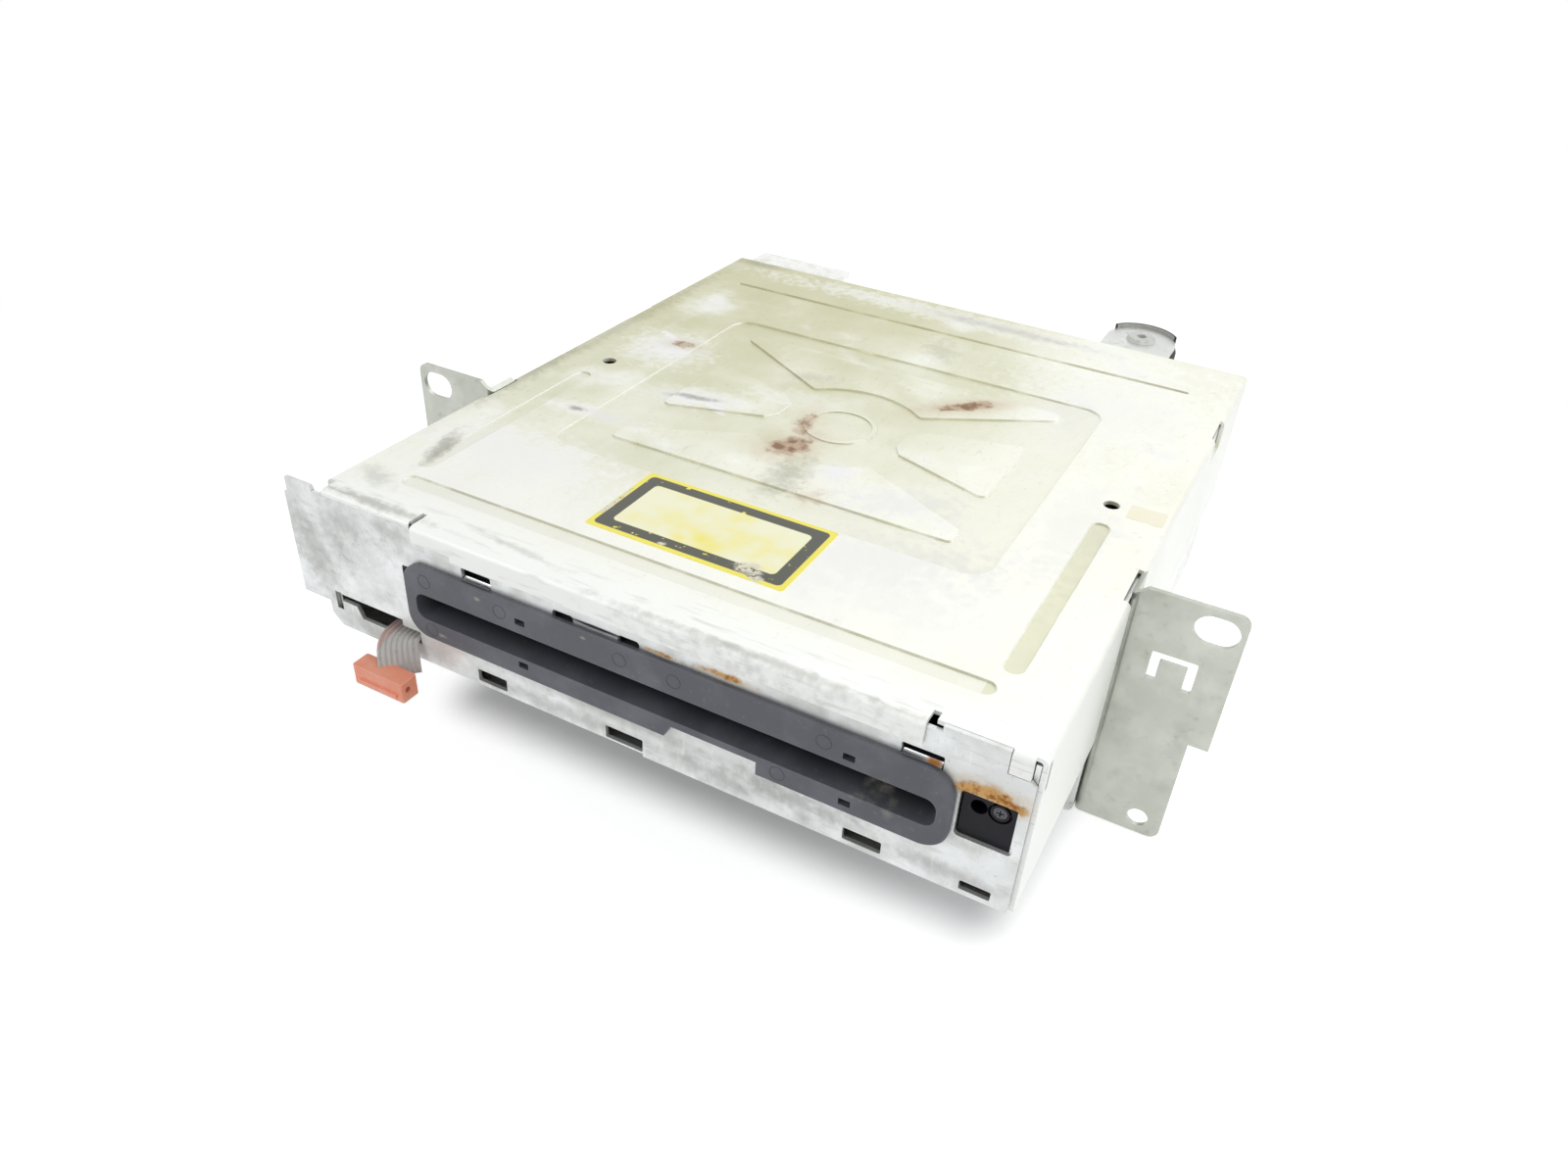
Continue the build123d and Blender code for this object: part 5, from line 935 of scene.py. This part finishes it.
class Finishes:
    """Every finish on the deck, and the nodes that take it."""

    def __init__(self) -> None:
        """Build the materials, each once."""
        # Folded steel: grey and soft in its shine, the chassis cleaner, the ears duller and greener
        sheet = ZincSheet("zinc_sheet_folded")
        chassis = ZincSheet("zinc_sheet_chassis", "D9DBD8", "F0F1EF", "B4B6B0", 0.35)
        ear = ZincSheet(
            "zinc_sheet_grey_green_passivated", "B9BCB2", "D0D2CA", "A6A89E", 0.18, 0.4, 0.5
        )
        # The window tabs are near-white sheet: a painted highlight, with a spot of rust
        tab_rust = placed((68.4, 55.4, 1.8, 0.7, 0.0, 0.5))
        tab = ZincSheet(
            "zinc_sheet_tab_painted_highlight", "F0F2F3", "FFFFFF", "D5D6D6", 0.1, 0.3, 0.7, tab_rust
        )
        # Mouldings: even and matt, the oiled nylon near black and the coral plug a little glossy
        bezel = Moulding(
            "abs_grey_moulded", "575960", "7E8189", 0.45, 0.01, 0.25, stains=BEZEL_DIRT
        )
        dark = Moulding("abs_grey_moulded_shadowed", "3C3D42", "55575C", 0.6, 0.01, 0.0)
        black = Moulding("nylon_black_moulded", "1B1B20", "3A3A40", 0.4)
        oiled = Moulding(
            "nylon_black_moulded_oiled", "0A0A12", "1C1C28", 0.4, 0.006, 0.04, 0.0, 0.2
        )
        acetal = Moulding("acetal_natural_moulded", "E9E7DC", "F6F5EE", 0.35, 0.006, 0.05, 0.05)
        coral = Moulding("pbt_coral_moulded", "FF9A78", "FFD4C2", 0.25, 0.008, 0.0, 0.08)
        rubber = Moulding("rubber_black_moulded", "262626", "3D3D3C", 0.75, 0.02, 0.25)
        sleeve = Moulding("rubber_grey_ground", "4A4A4A", "666664", 0.8, 0.02, 0.1)
        paper = Moulding("paper_sticker_cream", "FFFBE2", "FFFDF0", 0.5, 0.01, 0.05)
        # Solid metal: drawn steel brightest, screws duller, the heat sink whitened by weather
        steel = Metal("steel_bright_drawn", "C9CACC", "9FA1A4", 0.22)
        screw = Metal("steel_zinc_plated_screw", "BFC1BE", "8F918E", 0.35)
        blackened = Metal("steel_blackened_screw", "55555A", "3A3A3E", 0.4)
        brass = Metal("brass_turned", "D9BC74", "A98C4A", 0.25)
        alloy = Metal(
            "aluminium_extruded_whitened", "F2F3F0", "DADBD6", 0.45, (1.0, 1.0, 12.0), 0.8
        )
        worn_by = (
            (PassivatedCover(), "top_cover"),
            (StainedPlate(), "front_plate"),
            (chassis, "chassis_frame rear_panel"),
            (ear, "ear_left ear_right"),
            (sheet, "loader_frame loader_shelves tuner_box antenna_socket mode_slider"),
            (sheet, "roller_arm clamp_arm"),
            (bezel, "slot_bezel"),
            (oiled, "side_holder"),
            (black, "processor_chip amplifier_chip capacitors main_connector"),
            (black, "disc_guide clamper turntable pickup_sled"),
            (acetal, "ribbon_header roller_gear idler_gear worm_wheel"),
            (coral, "ribbon_connector"),
            (rubber, "dampers"),
            (sleeve, "roller_sleeves"),
            (ChalkedRubber(), "rear_bush"),
            (BorderedLabel(), "label_sticker"),
            (paper, "small_sticker"),
            (BoardLacquer(), "main_board"),
            (Felt(), "felt_pads"),
            (LensGlass(), "pickup_lens"),
            (steel, "arm_pivot clamp_pivot gear_pins roller_shaft guide_rods lead_screw"),
            (steel, "damper_pins loading_motor sled_motor spindle_motor"),
            (screw, "ear_screws cover_screws board_screws slider_rivets"),
            (blackened, "holder_screw"),
            (brass, "worm clamp_spring"),
            (alloy, "heat_sink"),
        )
        built: dict[object, Material] = {}
        self.by_node: dict[str, Material] = {}
        for finish, nodes in worn_by:
            if finish not in built:
                built[finish] = finish.material()
            for node in nodes.split():
                self.by_node[node] = built[finish]
        self.bezel_dark = dark.material()
        self.tab = tab.material()
        self.ribbon = RibbonSkin().material()

    def dress(self) -> None:
        """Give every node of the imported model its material, but not the cord, which is replaced."""
        for name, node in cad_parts.items():
            if name == "ribbon_cable":
                continue
            for slot in node.material_slots:
                slot.material = self.by_node[name]
            log.info("%s dressed", name)


def new_piece(name: str, shape: bmesh.types.BMesh, material: Material) -> bpy.types.Object:
    """Turn a finished bmesh into an object at the origin.

    Args:
        name: the piece's name.
        shape: its shape, in metres, which is freed here.
        material: its material.

    Returns:
        The new object.
    """
    bmesh.ops.recalc_face_normals(shape, faces=shape.faces[:])
    mesh = bpy.data.meshes.new(name)
    shape.to_mesh(mesh)
    shape.free()
    mesh.materials.append(material)
    return put(name, mesh)


@dataclass
class RibbonLead:
    """The flat eight-way lead, from its header on the board to the plug outside."""

    ways: int = 8
    pitch: float = WAY_PITCH
    thick: float = 0.9
    web: float = 0.4
    facets: int = 6
    length: float = 93.7
    route: tuple[Triple, ...] = (
        (-66.5, 6.2, 13.6),
        (-66.5, 6.2, 20.0),
        (-66.5, 6.2, 29.0),
        (-66.5, -2.0, 29.0),
        (-66.4, -24.0, 29.0),
        (-66.2, -46.0, 29.0),
        (-66.0, -56.0, 31.9),
        (-65.8, -62.0, 32.2),
        (-65.1, -65.2, 31.8),
        (-63.6, -67.2, 28.6),
        (-62.3, -68.4, 24.6),
    )

    def build(self, finishes: Finishes) -> None:
        """Args:
            finishes: the deck's finishes.
        """
        data = bpy.data.curves.new("ribbon_route", "CURVE")
        data.dimensions = "3D"
        spline = data.splines.new("NURBS")
        spline.points.add(len(self.route) - 1)
        for point, place in zip(spline.points, self.route):
            point.co = (*[value * MM for value in place], 1.0)
        spline.order_u = 3
        spline.use_endpoint_u = True
        spline.resolution_u = 8
        line = put("ribbon_route", data)
        path = [tuple(vertex.co) for vertex in self.meshed(line).vertices]
        section = self.section()
        data.bevel_mode = "OBJECT"
        data.bevel_object = section
        data.use_fill_caps = True
        data.twist_mode = "Z_UP"
        shape = bmesh.new()
        shape.from_mesh(self.meshed(line))
        bmesh.ops.remove_doubles(shape, verts=shape.verts[:], dist=WELD)
        ribbon = new_piece("ribbon_lead", shape, finishes.ribbon)
        for face in ribbon.data.polygons:
            face.use_smooth = True
        for old in (line, section):
            bpy.data.objects.remove(old)
        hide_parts("ribbon_cable")
        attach(ribbon, "deck")
        log.info("ribbon lead built")

    def meshed(self, line: bpy.types.Object) -> bpy.types.Mesh:
        """Return a curve as a mesh, as it stands now."""
        bpy.context.view_layer.update()
        shown = line.evaluated_get(bpy.context.evaluated_depsgraph_get())
        return bpy.data.meshes.new_from_object(shown)

    def section(self) -> bpy.types.Object:
        """Draw the lead's section: round ways joined by a thin web.

        Returns:
            A closed flat curve.
        """
        outline = []
        first = -(self.ways - 1) / 2 * self.pitch
        lean = math.asin(self.web / self.thick)
        for side in (1, -1):
            for index in range(self.ways):
                middle = side * (first + index * self.pitch)
                for step in range(self.facets + 1):
                    angle = math.pi - lean - step * (math.pi - 2 * lean) / self.facets
                    across = middle + side * math.cos(angle) * self.thick / 2
                    outline.append((across, side * math.sin(angle) * self.thick / 2))
        data = bpy.data.curves.new("ribbon_section", "CURVE")
        data.dimensions = "2D"
        spline = data.splines.new("POLY")
        spline.points.add(len(outline) - 1)
        for point, (across, up) in zip(spline.points, outline):
            point.co = (across * MM, up * MM, 0.0, 1.0)
        spline.use_cyclic_u = True
        return put("ribbon_section", data)


@dataclass
class BezelMarks:
    """Ejector marks moulded on the bezel's lips: low rings round a flat disc."""

    radius: float = 1.7
    rim: float = 0.24
    sunk: float = 0.05
    upper: tuple[float, ...] = (-55.5, -33.8, -1.8, 11.7, 46.5)
    upper_height: float = 51.3
    lower: tuple[float, ...] = (-55.0, 36.8)
    lower_height: float = 38.0
    front: float = -63.45
    section_sides: int = 8
    steps: int = 40

    def build(self, finishes: Finishes) -> None:
        """Build the rings on the lips.

        Args:
            finishes: the deck's finishes.
        """
        shape = bmesh.new()
        y = (self.front + self.sunk) * MM
        places = [(x, self.upper_height) for x in self.upper]
        places += [(x, self.lower_height) for x in self.lower]
        for x, z in places:
            # One low ring: a small round section spun about the mark's middle
            section = bmesh.ops.create_circle(
                shape,
                cap_ends=False,
                segments=self.section_sides,
                radius=self.rim / 2 * MM,
                matrix=Matrix.Translation(((x + self.radius) * MM, y, z * MM)),
            )["verts"]
            edges = [edge for edge in shape.edges if all(vert in section for vert in edge.verts)]
            bmesh.ops.spin(
                shape,
                geom=[*section, *edges],
                cent=(x * MM, y, z * MM),
                axis=(0, 1, 0),
                angle=2 * math.pi,
                steps=self.steps,
                use_merge=True,
            )
        bmesh.ops.remove_doubles(shape, verts=shape.verts[:], dist=WELD)
        ring = new_piece("bezel_ejector_marks", shape, finishes.bezel_dark)
        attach(ring, "deck")
        log.info("bezel marks built")


@dataclass
class BentSheet:
    """Thin sheet bent along X: a profile seen from the side and drawn out over some spans."""

    name: str
    spans: tuple[Pair, ...]
    profile: tuple[Pair, ...]
    thick: float

    def build(self, material: Material) -> None:
        """Draw the profile out over each span and give the sheet its thickness.

        Args:
            material: the sheet's material.
        """
        shape = bmesh.new()
        for low, high in self.spans:
            line = [shape.verts.new((low * MM, y * MM, z * MM)) for y, z in self.profile]
            edges = [shape.edges.new(pair) for pair in zip(line, line[1:])]
            sheet = bmesh.ops.extrude_edge_only(shape, edges=edges)
            moved = [item for item in sheet["geom"] if isinstance(item, bmesh.types.BMVert)]
            bmesh.ops.translate(shape, verts=moved, vec=((high - low) * MM, 0, 0))
        bmesh.ops.recalc_face_normals(shape, faces=shape.faces[:])
        bmesh.ops.solidify(shape, geom=shape.faces[:], thickness=self.thick * MM)
        sheet = new_piece(self.name, shape, material)
        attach(sheet, "deck")
        log.info("%s built", self.name)


@dataclass
class Thread:
    """A screw along X with its thread, in place of the plain solid of the same outer size.

    The tooth is as wide at its tip and foot as the shares of the half lead say, and its foot
    stands a little inside the core.
    """

    name: str
    body: str
    slot: str
    centre: Triple
    length: float
    root: float
    crest: float
    lead: float
    journal: float
    shoulders: Pair
    foot_share: float = 0.75
    tip_share: float = 0.3
    sunk: float = 0.1
    steps_a_turn: int = 24
    core_sides: int = 32

    def build(self, material: Material) -> None:
        """Sweep the thread's tooth round its core, and add the journals at both ends.

        Args:
            material: the screw's material.
        """
        shape = bmesh.new()
        turns = self.length / self.lead
        steps = int(self.steps_a_turn * turns)
        tip, foot = self.lead / 2 * self.tip_share, self.lead / 2 * self.foot_share
        inner = self.root - self.sunk
        profile = ((inner, -foot), (self.crest, -tip), (self.crest, tip), (inner, foot))
        start = -self.length / 2
        tooth = [shape.verts.new((radius * MM, 0.0, (start + z) * MM)) for radius, z in profile]
        face = shape.faces.new(tooth)
        bmesh.ops.spin(
            shape,
            geom=[face, *face.verts, *face.edges],
            cent=(0, 0, 0),
            axis=(0, 0, 1),
            dvec=(0, 0, self.length * MM / steps),
            angle=2 * math.pi * turns,
            steps=steps,
            use_merge=False,
            use_duplicate=False,
        )
        ends = tuple(corner[0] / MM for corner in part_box(self.body))
        for radius, (first, last) in ((self.root, self.shoulders), (self.journal, ends)):
            bmesh.ops.create_cone(
                shape,
                cap_ends=True,
                segments=self.core_sides,
                radius1=radius * MM,
                radius2=radius * MM,
                depth=(last - first) * MM,
                matrix=Matrix.Translation((0, 0, ((first + last) / 2 - self.centre[0]) * MM)),
            )
        place = Matrix.Translation(Vector(self.centre) * MM) @ Matrix.Rotation(math.pi / 2, 4, "Y")
        bmesh.ops.transform(shape, verts=shape.verts[:], matrix=place)
        piece = new_piece(self.name, shape, material)
        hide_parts(self.body)
        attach(piece, self.body)
        log.info("%s built", self.name)


@dataclass(frozen=True)
class Lamp:
    """A round lamp: where it hangs, how wide it is, its power in watts and where it points."""

    name: str
    place: Triple
    size: float
    power: float
    aim: Triple

    def hang(self) -> None:
        """Hang the lamp in its place, turned to its aim."""
        data = bpy.data.lights.new(self.name, "AREA")
        data.shape = "DISK"
        data.size = self.size * MM
        data.energy = self.power
        lamp = put(self.name, data)
        lamp.location = Vector(self.place) * MM
        ray = Vector(self.aim) - Vector(self.place)
        lamp.rotation_euler = ray.to_track_quat("-Z", "Y").to_euler()
        log.info("%s hung", self.name)


@dataclass(frozen=True)
class Studio:
    """White table, soft light and the camera that took the picture.

    The table fades into the room between two distances from the origin, in metres. A box in
    X and Y, by its middles and half sizes, holds the shadow: outside it the table glows.
    """

    lens: float = 26.558
    sensor: float = 36.0
    near: float = 10.0
    place: Triple = (112.64, -219.26, 203.67)
    angles: Triple = (55.364, -3.028, 28.363)
    table: str = "DADADC"
    table_half: float = 2.0
    fade: Pair = (0.2, 0.42)
    shadow: tuple[Pair, ...] = ((8.0, 68.0), (50.0, 91.0))
    glow: Pair = (0.02, 0.64)
    glow_reach: float = 17.0
    dimmed: float = 0.45
    lamps: tuple[Lamp, ...] = (
        Lamp("lamp_over", (150.0, 250.0, 750.0), 700.0, 1.9, (0.0, 20.0, 40.0)),
        Lamp("lamp_right", (700.0, 60.0, 380.0), 600.0, 1.5, (0.0, 20.0, 40.0)),
        Lamp("lamp_front", (-350.0, -650.0, 420.0), 600.0, 1.35, (0.0, -30.0, 40.0)),
    )

    def camera(self) -> None:
        """Set the camera in its place."""
        data = bpy.data.cameras.new("camera")
        data.sensor_width = self.sensor
        data.lens = self.lens
        data.clip_start = self.near * MM
        camera = put("camera", data)
        camera.location = Vector(self.place) * MM
        camera.rotation_euler = [math.radians(angle) for angle in self.angles]
        bpy.context.scene.camera = camera
        log.info("camera set")

    def laminate(self) -> Material:
        """Build the matt white laminate of the table, which meets the room without an edge.

        Returns:
            The finished material.
        """
        coat = Layers("white_laminate_table_top", self.table, 0.0, 0.8)
        tree, shader = coat.tree, coat.shader
        seen = self.seen(tree)
        # The shadow stays close under the nose: beyond it the table is bleached
        limits = {"From Min": 0.0, "From Max": self.glow_reach * MM}
        limits |= {"To Min": self.glow[0], "To Max": self.glow[1]}
        bleach = add_node(
            tree,
            "ShaderNodeMapRange",
            {"Value": coat.beyond(self.shadow), **limits},
            interpolation_type="SMOOTHSTEP",
        ).outputs[0]
        tree.links.new(coat.times(seen, bleach), shader.inputs["Emission Strength"])
        # Far out the table is as white as the room, so that no horizon shows
        far = coat.between(coat.distance(coat.place), *self.fade)
        top = add_node(tree, "ShaderNodeEmission", {"Color": WHITE, "Strength": 1.0}).outputs[0]
        for share in (far, seen):
            mixed = {0: share, 1: shader.outputs[0], 2: top}
            top = add_node(tree, "ShaderNodeMixShader", mixed).outputs[0]
        tree.links.new(top, tree.nodes["Material Output"].inputs["Surface"])
        return coat.done(Specular_IOR_Level=0.2, Emission_Color=WHITE)

    def floor(self) -> None:
        """Lay the table top."""
        shape = bmesh.new()
        bmesh.ops.create_grid(shape, x_segments=4, y_segments=4, size=self.table_half)
        floor = new_piece("table_top", shape, self.laminate())
        log.info("table laid")

    def seen(self, tree: bpy.types.NodeTree) -> Socket:
        """Mask the rays by which the camera, metal or glass sees the surroundings.

        Args:
            tree: the node tree that needs the mask.

        Returns:
            The mask, 0 or 1.
        """
        rays = add_node(tree, "ShaderNodeLightPath").outputs
        mask = rays["Is Camera Ray"]
        for ray in ("Is Transmission Ray", "Is Glossy Ray"):
            either = {0: mask, 1: rays[ray]}
            mask = add_node(tree, "ShaderNodeMath", either, operation="MAXIMUM").outputs[0]
        return mask

    def light(self) -> None:
        """Hang the lamps and set the surroundings, which light less than they show."""
        world = bpy.data.worlds.new("white_room")
        bpy.context.scene.world = world
        world.use_nodes = True
        tree = world.node_tree
        ground = tree.nodes["Background"]
        ground.inputs["Color"].default_value = WHITE
        limits = {"Value": self.seen(tree), "To Min": self.dimmed, "To Max": 1.0}
        level = add_node(tree, "ShaderNodeMapRange", limits).outputs[0]
        tree.links.new(level, ground.inputs["Strength"])
        for lamp in self.lamps:
            lamp.hang()


def main() -> None:
    """Build the scene piece by piece."""
    logging.basicConfig(level=logging.INFO, format="%(name)s: %(message)s")
    scene = bpy.context.scene
    scene.view_settings.view_transform = "Standard"
    studio = Studio()
    studio.camera()
    finishes = Finishes()
    finishes.dress()
    RibbonLead().build(finishes)
    BezelMarks().build(finishes)
    BentSheet(
        name="window_tabs",
        spans=((-44.7, -37.1), (62.1, 70.2)),
        profile=((-62.2, 55.4), (-61.9, 55.4), (-61.6, 55.45), (-61.3, 55.6), (-61.1, 55.8)),
        thick=0.3,
    ).build(finishes.tab)
    BentSheet(
        name="cover_corner_bend",
        spans=((-85.9, -59.5),),
        profile=(
            (-60.7, 64.98),
            (-61.2, 64.9),
            (-61.55, 64.68),
            (-61.78, 64.35),
            (-61.86, 63.95),
            (-61.88, 63.45),
        ),
        thick=0.3,
    ).build(finishes.by_node["top_cover"])
    Thread(
        name="lead_screw_thread",
        body="lead_screw",
        slot="steel",
        centre=(-32.0, 64.0, 29.0),
        length=50.0,
        root=1.5,
        crest=1.9,
        lead=3.0,
        journal=1.0,
        shoulders=(-61.7, -4.6),
    ).build(finishes.by_node["lead_screw"])
    studio.floor()
    studio.light()


if __name__ == "__main__":
    main()
